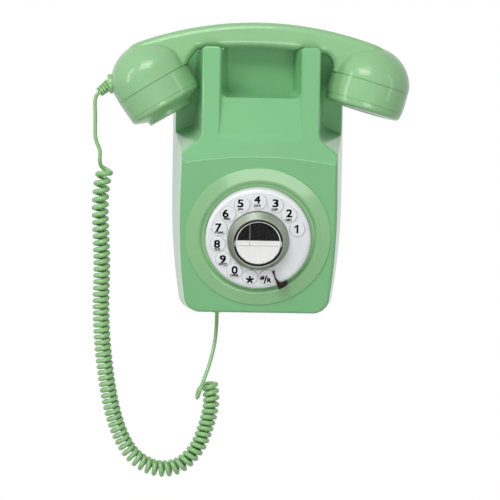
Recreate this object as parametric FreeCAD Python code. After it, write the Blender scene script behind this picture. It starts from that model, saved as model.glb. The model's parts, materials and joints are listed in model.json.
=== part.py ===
# Push-button wall telephone with a dial face, a handset across the top and a curly handset cord.
# Millimetres. X to the right, Y to the wall, Z up. The origin lies in the face that meets the wall,
# on the middle line of the case, 106 mm above its lowest edge.
import FreeCAD
import Part
import math
import os

V = FreeCAD.Vector
X_AXIS = V(1, 0, 0)
Y_AXIS = V(0, 1, 0)
Z_AXIS = V(0, 0, 1)
ORIGIN = V(0, 0, 0)

# Case shell
case_wall = 2.5
case_half_width = 68.2
case_top = 112.0
case_bottom = -106.0
case_corner_radius = 13.0
side_straight_end = -15.0
side_arc_radius = 500.0
draft_depth = 110.0
draft_inset = 11.0
draft_bottom_rise = 7.4
front_depth = 96.76
front_curve_radius = 1020.0
crease_height = 19.5
face_tilt = 17.0

# Tower that carries the handset, and the shoulders beside it
shoulder_front = 27.0
shoulder_top = 101.5
tower_half_front = 43.1
tower_half_wall = 52.6
slope_reach = 90.0
slope_inner_front = 31.0
slope_inner_wall = 47.7
slope_outer_front = -10.3
slope_outer_wall = 39.0
slope_round_front = 10.0
slope_round_wall = 4.0
prong_round = 3.5
prong_least_round = 0.8
prong_overlap = 0.05

# Finger pocket between the prongs, and the sunk panel below it
pocket_half_front = 31.8
pocket_half_back = 25.4
pocket_bottom_front = 61.6
pocket_bottom_back = 69.0
pocket_back = 52.0
pocket_round = 5.0
panel_foot = 30.5
panel_step_top = 37.0
panel_step = 1.0
panel_lean = 5.3
panel_half_front = 31.9
panel_half_sunk = 28.6
panel_side_depth = 3.5

# Saddle under the handset's grip
grip_y = -67.0
saddle_half_depth = 13.5
saddle_floor = 92.0
seat_gap = 0.3
lip_top = 102.0

# Dial, measured out from the middle of its circle on the tilted face
dial_drop = 64.3
opening_radius = 49.5
opening_rim_wall = 2.7
bezel_cover = 6.15
bezel_radius = opening_radius + bezel_cover
bezel_edge = 0.9
bezel_crown = 2.2
bezel_crown_radius = 44.6
bezel_dip = -0.6
bezel_bore = 40.75
bezel_lip_bottom = -3.0
bezel_spigot_bore = 43.9
bezel_spigot_wall = 1.5
frame_top = -8.0
frame_thickness = 1.6
frame_bore = 38.0
frame_cover = 3.5
frame_radius = opening_radius + frame_cover
post_inset = 2.1
post_circle = opening_radius - post_inset
post_radius = 1.9
post_count = 4
disc_radius = 40.4
disc_face = 6.3
disc_thickness = 2.5
disc_round = 2.8
disc_rim_wall = 2.2
disc_flange_radius = 43.6
disc_flange_top = -3.2
line_radius = 37.5
line_width = 0.4
line_depth = 0.3

# Keys, their rubber mat and their board
key_names = ["1", "2", "3", "4", "5", "6", "7", "8", "9", "0", "star", "hash"]
key_circle = 30.9
key_first_angle = 17.5
key_pitch = 24.2
key_radius = 5.9
key_gap = 0.2
key_proud = 0.7
key_round = 0.5
key_travel = 1.5
key_bar_length = 14.0
key_bar_width = 5.0
key_bar_thickness = 1.2
slide_gap = 0.2
mat_thickness = 1.0
mat_radius = 37.4
dome_radius = 3.4
dome_gap = 0.1
keypad_top = -2.0
keypad_thickness = 1.6
boss_circle = 22.2
boss_radius = 1.9
boss_bore = 1.0
boss_steps = [1.5, 4.5, 7.5, 10.5]

# Hub with the redial button
hub_radius = 23.65
hub_bore = 18.8
hub_side = 3.0
hub_height = 7.7
hub_crown_radius = 19.6
redial_radius = 18.5
redial_recess_radius = 17.2
redial_height = 6.9
redial_wall = 2.0
redial_lip = 1.2
card_thickness = 0.3
lens_thickness = 1.2
stop_thickness = 1.9

# Back plate, wall screws and case screws
back_thickness = 3.0
back_gap = 0.4
wall_hole_spacing_x = 84.0
wall_hole_spacing_z = 110.0
wall_hole_middle_z = 17.0
wall_hole_radius = 2.25
case_screw_x = 43.0
case_screw_y = -9.0
flange_metal = 2.0
thread_gap = 0.05

# Main board
board_half_width = 34.0
board_half_height = 24.0
board_thickness = 1.6
standoff_height = 8.0
standoff_x = 29.0
standoff_z = 19.0

# Ringer
ringer_metal = 1.5
gong_x = 25.5
gong_z = -66.0
gong_radius = 21.0
gong_rim_y = -9.0
gong_depth = 13.0
gong_metal = 1.2
gong_round = 7.0
coil_z = -34.0
coil_y = -12.5
coil_radius = 6.5
coil_half_length = 11.0
core_radius = 2.2
pole_half_gap = 13.0
pole_metal = 3.0
pole_end_z = -42.0
pivot_z = -47.0
pivot_radius = 1.5
clapper_y = -13.0
clapper_half_depth = 3.0
clapper_swing = 3.0
strike_gap = 0.3

# Hook switch
plunger_x = 38.0
plunger_radius = 3.0
plunger_gap = 0.3
hook_travel = 4.0
bridge_bottom = 50.0
bridge_height = 5.0
bridge_half_depth = 4.0
guide_radius = 2.0
shelf_top = 32.0
shelf_metal = 2.0
spring_bore = 2.6
spring_radius = 3.6

# Handset
grip_top = 121.3
grip_top_x = -2.0
grip_top_radius = 262.0
grip_under = 102.4
grip_under_x = -8.0
grip_under_radius = 410.0
grip_half_depth = 12.5
grip_flare = 2.3
grip_round = 5.0
grip_mouth_bend = -94.0
grip_mouth_drop = V(-106.0, 0, 94.5)
grip_mouth_side = -88.0
grip_mouth_tip = -103.0
grip_ear_bend = 89.0
grip_ear_drop = V(100.5, 0, 95.5)
grip_ear_side = 83.0
grip_ear_tip = 98.0
handset_wall = 2.5
cup_radius = 30.4
dome_rim_share = 0.32
mouth_seam = V(-81.85, grip_y, 73.75)
mouth_tilt = 31.4
mouth_side = 8.0
mouth_dome = 25.0
ear_seam = V(84.0, grip_y, 77.15)
ear_tilt = -16.2
ear_side = 1.0
ear_dome = 27.0
spigot_gap = 0.2
spigot_height = 3.0
spigot_wall = 1.8
seam_width = 0.5
seam_depth = 0.7
mic_radius = 13.0
mic_depth = 7.0
speaker_radius = 22.0
speaker_depth = 9.0

# Handset cord
wire_diameter = 3.8
lead_diameter = 3.0
coil_diameter = 13.4
curls = 68
curl_pitch = 4.45
first_curl_extra = 2.2
curl_ease = 50.0
steps_per_curl = 4
first_run = 3.4
last_run = 4.2
least_allowed_gap = 0.4
boot_length = 10.6
boot_angle = 219.7
boot_root = V(-115.3, grip_y, 73.0)
boot_flange_radius = 7.5
boot_root_radius = 4.55
boot_tip_radius = 3.6
grommet_x = -30.6
grommet_y = -27.0
grommet_radius = 3.8
grommet_low = -105.2
grommet_high = -99.5

# Small sizes
front_round = 2.6
tower_round = 1.5
case_pad_radius = 5.0
case_pad_height = 2.9
case_head_radius = 3.0
case_head_height = 1.6
case_head_gap = 0.3
case_head_seat = 0.2
case_screw_radius = 1.5
case_screw_length = 9.5
grommet_gap = 0.2
socket_gap = 0.2
standoff_radius = 3.0
flange_half = 6.0
flange_thickness = 2.0
nut_radius = 3.0
nut_height = 6.0
tab_x = 20.0
tab_width = 12.0
tab_length = 7.0
board_screw_radius = 1.4
plate_screw_radius = 1.4
plate_screw_skin = 0.6
plate_screw_length = ringer_metal + back_thickness - plate_screw_skin - 0.3
bezel_dip_radius = 43.2
frame_screw_radius = 1.0
frame_screw_length = 6.0
small_head_radius = 2.4
small_head_height = 1.4
keypad_screw_length = 5.0
dome_hollow = 1.8
ribbon_half_width = 8.0
ribbon_thickness = 0.9
ribbon_rise = 10.5
ribbon_end_y = -17.0
ribbon_end_z = 16.5
keypad_socket_height = 4.0
fit_gap = 0.05
redial_stem_radius = 3.0
stop_round = 0.4
capacitor_radius = 4.0
gong_post_radius = 3.5
gong_screw_radius = 1.5
gong_head_radius = 3.2
gong_head_height = 1.8
bobbin_cheek = 1.2
hub_outer = 3.4
pole_air = 1.2
armature_metal = 1.6
stalk_radius = 0.9
guide_low = 27.0
shelf_left = -10.0
shelf_right = 20.0
shelf_flange = 14.0
switch_left = 6.0
socket_x = 30.0
socket_y = -22.0
socket_width = 14.5
socket_depth = 12.0
socket_bottom = -103.9
socket_height = 14.0
mouth_width = 11.7
mouth_depth = 6.8
mouth_height = 10.5
mouth_web = V(-52.7, 0, 95.3)
mouth_web_end = -48.6
ear_web = V(53.8, 0, 94.0)
ear_web_end = 48.6
mouth_rounding_reach = 56.0
boot_neck_radius = 3.6
bend_share = 0.45
mouth_collar_depth = 26.8
mouth_collar_radius = 18.3
mouth_cone_radius = 18.8
mouth_line_radius = 29.4
mouth_face_wall = 2.4
mouth_hole_rings = [(1, 0.0), (6, 4.5), (12, 9.0)]
ear_hole_rings = [(1, 0.0), (6, 4.0), (12, 8.0)]
sound_hole_radius = 0.9
ear_wall_radius = 30.7
ear_ring_top = -8.0
ear_speaker_low = -16.9
boot_slots = 4
boot_slot_first = 1.3
boot_slot_pitch = 2.4
boot_slot_width = 1.1
boot_spine = 0.8
boot_core = 2.0
boot_flange_angle = 187.5
boot_flange_out = 0.9
boot_flange_round = 0.6
boot_flange_depth = 6.0
boot_neck_length = 6.0
inner_wire_diameter = 2.0
inner_lead_end = V(-20.0, -16.6, -23.0)
mic_wire_route = [V(-108.5, grip_y, 78.8), V(-101.0, grip_y, 84.5), V(-92.0, grip_y, 84.0), V(-84.0, grip_y, 76.5),
                  V(-77.5, grip_y, 66.8), V(-73.0, grip_y, 59.4)]
ear_wire_route = [V(-107.0, grip_y - 2.5, 82.0), V(-96.0, grip_y - 1.5, 93.5), V(-78.0, grip_y - 1.0, 101.5),
                  V(-52.0, grip_y - 0.5, 109.0), V(-8.0, grip_y, 113.0), V(38.0, grip_y - 0.6, 110.6),
                  V(66.0, grip_y - 1.0, 103.5), V(80.0, grip_y - 0.6, 91.0), V(82.4, grip_y, 74.0)]

# Route of the coil's middle line, from the handset down, along the bottom and up to the case
coil_route = [
    V(-117.6, -66, 9.4), V(-120.2, -66.5, -0.6), V(-121.7, -66, -20.0), V(-120.9, -65.5, -42.0),
    V(-119.9, -64.5, -68.0), V(-120.4, -63, -94.4), V(-119.2, -61, -124.1), V(-115.9, -59, -153.5),
    V(-111.2, -57, -179.0), V(-104.2, -54.8, -200.3), V(-93.7, -52.4, -217.0), V(-76.7, -50, -226.6),
    V(-58.2, -47.6, -224.6), V(-44.9, -45, -211.4), V(-38.4, -42.4, -195.9), V(-34.6, -39.8, -181.0),
    V(-34.0, -38, -170.0), V(-35.2, -37, -162.0),
]
coil_entry = [V(-122.3, -66, 18.9), V(-122.3, -66, 15.4)]
coil_exit = [V(-41.1, -30.5, -161.1), V(-42.8, -30.9, -164.4)]
upper_lead_route = [
    V(-126.7, -67, 58.6), V(-126.1, -67, 47.5), V(-126.3, -67, 33.0),
    V(-124.7, -66.6, 27.6), V(-122.3, -66, 22.4),
]
lower_lead_route = [
    V(-30.6, -27.0, -113.0), V(-31.4, -30.6, -127.0), V(-34.2, -35.5, -140.0), V(-37.6, -40.5, -151.0),
    V(-40.9, -44.2, -159.5), V(-43.2, -45.0, -166.5), V(-44.6, -42.6, -171.0), V(-45.2, -38.2, -172.8),
    V(-45.4, -34.3, -171.2),
]
inner_lead_route = [
    V(-30.6, -27.0, -93.0), V(-31.8, -29.0, -82.0), V(-33.0, -31.0, -70.0), V(-31.6, -30.8, -58.0),
    V(-27.2, -28.0, -46.5), V(-22.2, -21.5, -37.0), V(-20.0, -16.6, -29.5),
]


def box(x0, x1, y0, y1, z0, z1):
    return Part.makeBox(x1 - x0, y1 - y0, z1 - z0, V(x0, y0, z0))


def rod(radius, start, end):
    return Part.makeCylinder(radius, (end - start).Length, start, end - start)


def upright(radius, low, high):
    return rod(radius, V(0, 0, low), V(0, 0, high))


def tube(outer, inner, start, end):
    return rod(outer, start, end).cut(rod(inner, start, end))


def fused(shapes):
    return shapes[0].multiFuse(shapes[1:]).removeSplitter()


def mirrored(shape):
    return shape.mirror(ORIGIN, X_AXIS)


def both_sides(shape):
    return [shape, mirrored(shape)]


def placed(shape, position, rotation):
    moved = shape.copy()
    moved.Placement = FreeCAD.Placement(position, rotation).multiply(shape.Placement)
    return moved


def line(start, end):
    return Part.LineSegment(start, end).toShape()


def arc(start, middle, end):
    return Part.Arc(start, middle, end).toShape()


def outline(corners, closed=True):
    """Wire of straight runs through (point, radius) corners, each rounded by its radius."""
    edges = []
    last = None
    first = None
    count = len(corners)
    for i, (point, radius) in enumerate(corners):
        if radius == 0 or (not closed and i in (0, count - 1)):
            start = point
            end = point
            bend = None
        else:
            before = (corners[i - 1][0] - point).normalize()
            after = (corners[(i + 1) % count][0] - point).normalize()
            half = before.getAngle(after) / 2
            start = point + before * (radius / math.tan(half))
            end = point + after * (radius / math.tan(half))
            centre = point + (before + after).normalize() * (radius / math.sin(half))
            middle = centre + (point - centre).normalize() * radius
            bend = arc(start, middle, end)
        if last is None:
            first = start
        elif (start - last).Length > 1e-6:
            edges.append(line(last, start))
        if bend is not None:
            edges.append(bend)
        last = end
    if closed and (first - last).Length > 1e-6:
        edges.append(line(last, first))
    return Part.Wire(edges)


def sharp(points):
    return outline([(p, 0) for p in points])


def prism(wire, push):
    return Part.Face(wire).extrude(push)


def loft(wires):
    return Part.makeLoft(wires, True, True)


def turned(corners):
    """Solid of revolution about Z from (radius, height) or (radius, height, rounding) corners."""
    points = [(V(c[0], 0, c[1]), c[2] if len(c) == 3 else 0) for c in corners]
    return Part.Face(outline(points)).revolve(ORIGIN, Z_AXIS, 360)


def rounded(shape, radius, wanted):
    """Round the edges whose middle point the test accepts."""
    edges = [e for e in shape.Edges if wanted(e.valueAt((e.FirstParameter + e.LastParameter) / 2))]
    return shape.makeFillet(radius, edges)


def screw(top, way, head_radius, head_height, shank_radius, shank_length):
    """Pan-head screw: from the top of its head, the shank runs the way given."""
    step = V(way).normalize()
    seat = top + step * head_height
    return fused([rod(head_radius, top, seat), rod(shank_radius, seat - step * 0.2, seat + step * shank_length)])


# The tilted face has its own axes: X, up the face, and out of it
tilt = math.radians(face_tilt)
face_out = V(0, -math.cos(tilt), -math.sin(tilt))
face_up = V(0, -math.sin(tilt), math.cos(tilt))
crease_point = V(0, -front_depth, crease_height)
dial_centre = crease_point - face_up * dial_drop
dial_turn = FreeCAD.Rotation(X_AXIS, 90 + face_tilt)


def on_dial(shape):
    return placed(shape, dial_centre, dial_turn)


def dial_point(across, up, out):
    return dial_centre + X_AXIS * across + face_up * up + face_out * out


def round_dial(radius, angle, height):
    turn = math.radians(angle)
    return V(radius * math.cos(turn), radius * math.sin(turn), height)


# Case
def case_outline(y, inset):
    """Outline of the case at one depth: straight sides that curve in to rounded lower corners."""
    lean = -y / draft_depth
    half = case_half_width - draft_inset * lean - inset
    bottom = case_bottom + draft_bottom_rise * lean + inset
    top = case_top - inset
    side = side_arc_radius - inset
    corner = case_corner_radius - inset
    side_centre = V(half - side, y, side_straight_end)
    rise = bottom + corner - side_straight_end
    corner_centre = side_centre + V(math.sqrt((side - corner) ** 2 - rise ** 2), 0, rise)
    away = (corner_centre - side_centre).normalize()
    side_end = side_centre + away * side
    side_start = V(half, y, side_straight_end)
    side_middle = side_centre + (away + X_AXIS).normalize() * side
    corner_middle = corner_centre + (away - Z_AXIS).normalize() * corner
    corner_end = V(corner_centre.x, y, bottom)
    top_end = V(half, y, top)

    def left(p):
        return V(-p.x, p.y, p.z)

    return Part.Wire([
        line(left(top_end), top_end),
        line(top_end, side_start),
        arc(side_start, side_middle, side_end),
        arc(side_end, corner_middle, corner_end),
        line(corner_end, left(corner_end)),
        arc(left(corner_end), left(corner_middle), left(side_end)),
        arc(left(side_end), left(side_middle), left(side_start)),
        line(left(side_start), left(top_end)),
    ])


def case_block(inset, back_y):
    """Leaning block, cut by the bowed upper front and by the tilted face."""
    block = loft([case_outline(back_y, inset), case_outline(-draft_depth, inset)])
    span = 2 * draft_depth + case_top - case_bottom
    bow = Part.makeCylinder(front_curve_radius - inset, span, V(0, front_curve_radius - front_depth, -span / 2))
    behind = on_dial(Part.makeBox(span, span, span, V(-span / 2, -span / 2, -span - inset)))
    return block.common(bow).common(behind)


def tower_half(y):
    return tower_half_wall + (tower_half_front - tower_half_wall) * -y / draft_depth


def shoulder_section(y, inset):
    """Section of the space beside the tower: down its side, round, and out along the slope."""
    deep = -y / draft_depth
    half = tower_half(y)
    inner = slope_inner_wall + (slope_inner_front - slope_inner_wall) * deep
    outer = slope_outer_wall + (slope_outer_front - slope_outer_wall) * deep
    slope = (outer - inner) / (slope_reach - half)
    drop = inset * math.sqrt(1 + slope ** 2)
    bend = slope_round_wall + (slope_round_front - slope_round_wall) * deep + inset
    high = case_top + 2 * case_wall
    return outline([
        (V(half - inset, y, high), 0),
        (V(half - inset, y, inner - slope * inset - drop), bend),
        (V(slope_reach, y, outer - drop), 0),
        (V(slope_reach, y, high), 0),
    ])


def above_shoulders(inset):
    def section(y):
        half = tower_half(y) - inset
        low = shoulder_top - inset
        high = case_top + 2 * case_wall
        return sharp([V(half, y, low), V(slope_reach, y, low), V(slope_reach, y, high), V(half, y, high)])

    return both_sides(loft([section(2 * case_wall), section(-2 * shoulder_front)]))


def shoulder_spaces(inset):
    """What is cut away beside the tower, in front of the shoulders and above them."""
    beside = loft([shoulder_section(inset - shoulder_front, inset), shoulder_section(-draft_depth, inset)])
    return both_sides(beside) + above_shoulders(inset)


def pocket_half(y):
    share = (y + pocket_back) / (pocket_back - draft_depth)
    return pocket_half_back + (pocket_half_front - pocket_half_back) * share


def pocket_space(grow):
    """The finger pocket: narrower and higher to the back, open above."""
    def section(y):
        share = (y + pocket_back) / (pocket_back - draft_depth)
        half = pocket_half(y) + grow
        low = pocket_bottom_back + (pocket_bottom_front - pocket_bottom_back) * share - grow
        high = case_top + 2 * case_wall
        bend = pocket_round + grow
        return outline([
            (V(-half, y, high), 0), (V(-half, y, low), bend), (V(half, y, low), bend), (V(half, y, high), 0),
        ])
    return loft([section(grow - pocket_back), section(-draft_depth)])


def panel_space(grow):
    """The sunk panel: a short ramp, then a face that leans back, between slanted side walls."""
    front = grow - front_depth
    reach = draft_depth
    high = case_top + 2 * case_wall
    flank = (panel_half_front - panel_half_sunk) / panel_side_depth
    deep = panel_step + (high - panel_step_top) * math.tan(math.radians(panel_lean))
    side_view = sharp([
        V(-reach, -reach, panel_foot - grow), V(-reach, front, panel_foot - grow),
        V(-reach, front + panel_step, panel_step_top - grow), V(-reach, front + deep, high),
        V(-reach, -reach, high),
    ])
    out = reach - front_depth
    wide = panel_half_front + flank * out + grow
    narrow = panel_half_front - flank * deep + grow
    back = deep - front_depth
    top_view = sharp([V(-wide, -reach, 0), V(wide, -reach, 0), V(narrow, back, 0), V(-narrow, back, 0)])
    return prism(side_view, X_AXIS * 2 * reach).common(prism(top_view, Z_AXIS * 2 * reach))


def under_grip(gap):
    """Everything below the curve that lies a gap under the grip."""
    centre = V(grip_under_x, 0, grip_under - grip_under_radius)
    return Part.makeCylinder(grip_under_radius - gap, 2 * draft_depth, centre - Y_AXIS * draft_depth * 1.5, Y_AXIS)


def prong_section(y, grow):
    """What is cut off above the prongs at one depth, seen from the front: it leaves their tops round."""
    outer = tower_half(y) - grow + prong_overlap
    inner = pocket_half(y) + grow - prong_overlap
    bend = max(prong_round - grow, prong_least_round)
    low = lip_top - grow - bend
    high = case_top + 2 * case_wall
    turn = math.sqrt(0.5) * bend

    def side(sign):
        def at(x, z):
            return V(sign * x, y, z)
        top = low + bend
        outer_arc = arc(at(outer, low), at(outer - bend + turn, low + turn), at(outer - bend, top))
        inner_arc = arc(at(inner + bend, top), at(inner + bend - turn, low + turn), at(inner, low))
        return [line(at(slope_reach, low), at(outer, low)), outer_arc,
                line(at(outer - bend, top), at(inner + bend, top)), inner_arc]

    edges = side(1) + [line(V(inner, y, low), V(-inner, y, low))] + side(-1)[::-1]
    corners = [V(-slope_reach, y, low), V(-slope_reach, y, high), V(slope_reach, y, high), V(slope_reach, y, low)]
    edges += [line(a, b) for a, b in zip(corners, corners[1:])]
    return Part.Wire(edges)


def saddle_spaces(grow):
    """The trough that the grip lies in, and what is cut off above the prongs."""
    near = grip_y - saddle_half_depth - grow
    far = grip_y + saddle_half_depth + grow
    high = case_top + 2 * case_wall
    trough = box(-slope_reach, slope_reach, near, far, saddle_floor - grow, high).cut(under_grip(seat_gap + grow))
    above = loft([prong_section(near + case_wall / 2, grow), prong_section(-draft_depth, grow)])
    return [trough, above]


def case_form(inset, back_y):
    form = case_block(inset, back_y)
    for space in shoulder_spaces(inset) + [pocket_space(inset), panel_space(inset)] + saddle_spaces(inset):
        form = form.cut(space)
    return form


def on_front(p):
    """Whether a point lies on the bowed upper front or on the tilted face."""
    bow = math.hypot(p.x, p.y - front_curve_radius + front_depth) - front_curve_radius
    return abs(bow) < 0.05 or abs((p - dial_centre).dot(face_out)) < 0.05


def case_skin():
    """Outer form: the low front edges are rounded first, then the crease, the slopes and the tower."""
    def front_edge(p):
        beside_panel = abs(p.x) > panel_half_front + 1 or p.z < panel_foot - 2
        along_slope = abs(p.x) > tower_half(p.y) + 5 and crease_height < p.z < slope_inner_wall
        return beside_panel and on_front(p) or along_slope and p.y < -shoulder_front - 1

    def low_edge(p):
        return front_edge(p) and p.z < crease_height - 2 * front_round

    def high_edge(p):
        return front_edge(p) and not low_edge(p)

    return rounded(rounded(case_form(0, 0), front_round, low_edge), tower_round, high_edge)


def plunger_places():
    return [V(-plunger_x, grip_y, 0), V(plunger_x, grip_y, 0)]


def front_case():
    """Green front shell: hollow to the wall, with the dial opening and the plunger sleeves."""
    skin = case_skin()
    cavity = case_form(case_wall, 2 * case_wall)
    parts = [skin.cut(cavity)]
    rim = opening_radius + opening_rim_wall
    parts.append(on_dial(upright(rim, frame_top, -case_wall / 2)))
    sleeve_radius = plunger_radius + plunger_gap + case_wall / 2
    for place in plunger_places():
        sleeve = rod(sleeve_radius, place + Z_AXIS * saddle_floor, place + Z_AXIS * case_top)
        parts.append(sleeve.common(under_grip(seat_gap)))
    floor = case_bottom + case_wall
    for x in (-case_screw_x, case_screw_x):
        pad = rod(case_pad_radius, V(x, case_screw_y, case_bottom - 1), V(x, case_screw_y, floor + case_pad_height))
        parts.append(pad.common(skin))
    case = parts[0].multiFuse(parts[1:])
    cuts = [on_dial(upright(opening_radius, 2 * frame_top, -2 * frame_top))]
    for place in plunger_places():
        cuts.append(rod(plunger_radius + plunger_gap, place + Z_AXIS * bridge_bottom, place + Z_AXIS * case_top))
    for x in (-case_screw_x, case_screw_x):
        place = V(x, case_screw_y, 0)
        cuts.append(rod(case_screw_radius + thread_gap, place + Z_AXIS * 2 * case_bottom, place))
        cuts.append(rod(case_head_radius + case_head_gap, place + Z_AXIS * 2 * case_bottom,
                        place + Z_AXIS * (floor + case_head_seat)))
    exit_point = V(grommet_x, grommet_y, 0)
    cuts.append(rod(grommet_radius + grommet_gap, exit_point + Z_AXIS * 2 * case_bottom, exit_point - Z_AXIS * 90))
    cuts.append(socket_box(socket_gap, 2 * case_bottom, socket_bottom + socket_height))
    return case.cut(Part.makeCompound(cuts)).removeSplitter()


def case_screws():
    floor = case_bottom + case_wall
    top = floor + case_head_seat - case_head_height
    return [screw(V(x, case_screw_y, top), Z_AXIS, case_head_radius, case_head_height,
                  case_screw_radius, case_screw_length) for x in (-case_screw_x, case_screw_x)]


# Back plate
def wall_holes():
    return [V(sx * wall_hole_spacing_x / 2, 0, wall_hole_middle_z + sz * wall_hole_spacing_z / 2)
            for sx in (-1, 1) for sz in (-1, 1)]


def standoffs():
    return [V(sx * standoff_x, 0, sz * standoff_z) for sx in (-1, 1) for sz in (-1, 1)]


def post(place, radius, near_y, far_y):
    return rod(radius, V(place.x, near_y, place.z), V(place.x, far_y, place.z))


def back_plate():
    """Plate that screws to the wall: it carries the boards and the ringer, and takes the case screws."""
    inset = case_wall + back_gap
    front = -back_thickness
    parts = [loft([case_outline(0, inset), case_outline(front, inset)])]
    for place in standoffs():
        parts.append(post(place, standoff_radius, front / 2, front - standoff_height))
    flange_low = case_bottom + case_wall + case_pad_height + slide_gap
    for x in (-case_screw_x, case_screw_x):
        foot = box(x - flange_half, x + flange_half, case_screw_y - flange_half, front / 2,
                   flange_low, flange_low + flange_thickness)
        nut = rod(nut_radius, V(x, case_screw_y, flange_low), V(x, case_screw_y, flange_low + nut_height))
        parts.extend([foot, nut])
    tab_high = case_top - case_wall - back_gap
    parts.extend(both_sides(box(tab_x, tab_x + tab_width, front - tab_length, front / 2,
                                tab_high - back_thickness, tab_high)))
    plate = fused(parts)
    cuts = above_shoulders(inset) + [post(place, wall_hole_radius, 1, 2 * front) for place in wall_holes()]
    for place in standoffs():
        cuts.append(post(place, board_screw_radius + thread_gap, front, front - standoff_height))
    for place in ringer_screw_places() + bracket_screw_places():
        cuts.append(post(place, plate_screw_radius + thread_gap, -plate_screw_skin, 2 * front))
    for x in (-case_screw_x, case_screw_x):
        cuts.append(rod(case_screw_radius + thread_gap, V(x, case_screw_y, flange_low - 1),
                        V(x, case_screw_y, flange_low + nut_height + 1)))
    return plate.cut(Part.makeCompound(cuts))


# Dial
def dial_bezel():
    """Ring on the tilted face, with a lip over the disc's flange and posts for the frame's screws."""
    spigot = bezel_spigot_bore + bezel_spigot_wall
    ring = turned([
        (bezel_radius, 0), (bezel_radius, bezel_edge, bezel_edge / 2), (bezel_crown_radius, bezel_crown, 3),
        (bezel_dip_radius, bezel_dip, 1), (bezel_bore, bezel_dip), (bezel_bore, bezel_lip_bottom),
        (bezel_spigot_bore, bezel_lip_bottom), (bezel_spigot_bore, frame_top), (spigot, frame_top), (spigot, 0),
    ])
    posts = [rod(post_radius, place, place - Z_AXIS * frame_top) for place in frame_posts(frame_top)]
    bores = [rod(frame_screw_radius + thread_gap, place, place - Z_AXIS * frame_top * 0.8)
             for place in frame_posts(frame_top)]
    return on_dial(fused([ring] + posts).cut(Part.makeCompound(bores)))


def frame_posts(height):
    step = 360 / post_count
    return [round_dial(post_circle, step * (i + 0.5), height) for i in range(post_count)]


def dial_frame():
    """Clamping ring behind the face: it holds the bezel down and carries the disc's rim."""
    low = frame_top - frame_thickness
    ring = tube(frame_radius, frame_bore, V(0, 0, low), V(0, 0, frame_top))
    holes = [rod(frame_screw_radius + thread_gap, p, p + Z_AXIS * frame_thickness) for p in frame_posts(low)]
    return on_dial(ring.cut(Part.makeCompound(holes)))


def frame_screws():
    low = frame_top - frame_thickness
    return [on_dial(screw(p - Z_AXIS * small_head_height, Z_AXIS, small_head_radius, small_head_height,
                          frame_screw_radius, frame_screw_length)) for p in frame_posts(low)]


def key_angle(index):
    return key_first_angle + key_pitch * index


def boss_places(height):
    return [round_dial(boss_circle, key_angle(step), height) for step in boss_steps]


def dial_plate():
    """White disc: a shallow cup with a hole for each key, a hub hole and bosses for its board."""
    under = disc_face - disc_thickness
    inner = disc_radius - disc_rim_wall
    disc = turned([
        (0, disc_face), (disc_radius, disc_face, disc_round), (disc_radius, disc_flange_top),
        (disc_flange_radius, disc_flange_top), (disc_flange_radius, frame_top), (inner, frame_top),
        (inner, under), (0, under),
    ])
    bosses = [rod(boss_radius, place, place + Z_AXIS * (under - keypad_top + 0.5)) for place in boss_places(keypad_top)]
    cuts = [upright(hub_bore, 0, 2 * disc_face)]
    cuts.append(upright(line_radius + line_width / 2, disc_face - line_depth, disc_face).cut(
        upright(line_radius - line_width / 2, disc_face - line_depth, disc_face)))
    for index in range(len(key_names)):
        place = round_dial(key_circle, key_angle(index), 0)
        cuts.append(rod(key_radius + key_gap, place, place + Z_AXIS * 2 * disc_face))
    for place in boss_places(keypad_top):
        cuts.append(rod(boss_bore, place, place + Z_AXIS * keypad_screw_length))
    return on_dial(fused([disc] + bosses).cut(Part.makeCompound(cuts)))


def key_bottom():
    return disc_face - disc_thickness - slide_gap - key_bar_thickness


def key(index):
    """One round key with a bar that keeps it under the disc."""
    low = key_bottom()
    button = turned([(0, low), (key_radius, low), (key_radius, disc_face + key_proud, key_round),
                     (0, disc_face + key_proud)])
    bar = box(-key_bar_length / 2, key_bar_length / 2, -key_bar_width / 2, key_bar_width / 2,
              low, low + key_bar_thickness)
    turn = FreeCAD.Rotation(Z_AXIS, key_angle(index))
    return on_dial(placed(fused([button, bar]), round_dial(key_circle, key_angle(index), 0), turn))


def dome(place, width):
    """Hollow rubber dome on the mat, a little below what it pushes up."""
    base = keypad_top + mat_thickness
    high = key_bottom() - dome_gap
    shell = turned([(0, keypad_top), (width + 1, keypad_top), (width + 1, base), (width, base + 1),
                    (width, high), (width - 1, high), (0, high)])
    return placed(shell.cut(upright(width - 1, keypad_top, base + dome_hollow)), place, FreeCAD.Rotation())


def dome_places():
    places = [round_dial(key_circle, key_angle(i), 0) for i in range(len(key_names))]
    return places + [ORIGIN]


def keypad_mat():
    """Rubber sheet over the contacts, with a dome for each key and one for the redial button."""
    sheet = upright(mat_radius, keypad_top, keypad_top + mat_thickness)
    holes = [rod(boss_radius + slide_gap, place, place + Z_AXIS * mat_thickness) for place in boss_places(keypad_top)]
    hollows = [placed(upright(dome_radius - 1, keypad_top, keypad_top + mat_thickness), place, FreeCAD.Rotation())
               for place in dome_places()]
    sheet = sheet.cut(Part.makeCompound(holes + hollows))
    return on_dial(fused([sheet] + [dome(place, dome_radius) for place in dome_places()]))


def keypad_board():
    """Round contact board behind the mat, with the socket of its ribbon cable."""
    low = keypad_top - keypad_thickness
    disc = upright(mat_radius, low, keypad_top)
    socket = box(-ribbon_half_width - 1, ribbon_half_width + 1, ribbon_rise - 2.5, ribbon_rise + 2.5,
                 low - keypad_socket_height, low)
    holes = [rod(boss_bore + thread_gap, place - Z_AXIS * keypad_thickness, place) for place in boss_places(keypad_top)]
    return on_dial(fused([disc, socket]).cut(Part.makeCompound(holes)))


def keypad_screws():
    low = keypad_top - keypad_thickness - small_head_height
    return [on_dial(screw(place, Z_AXIS, small_head_radius, small_head_height, boss_bore - thread_gap,
                          keypad_thickness + keypad_screw_length - 1)) for place in boss_places(low)]


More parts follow.
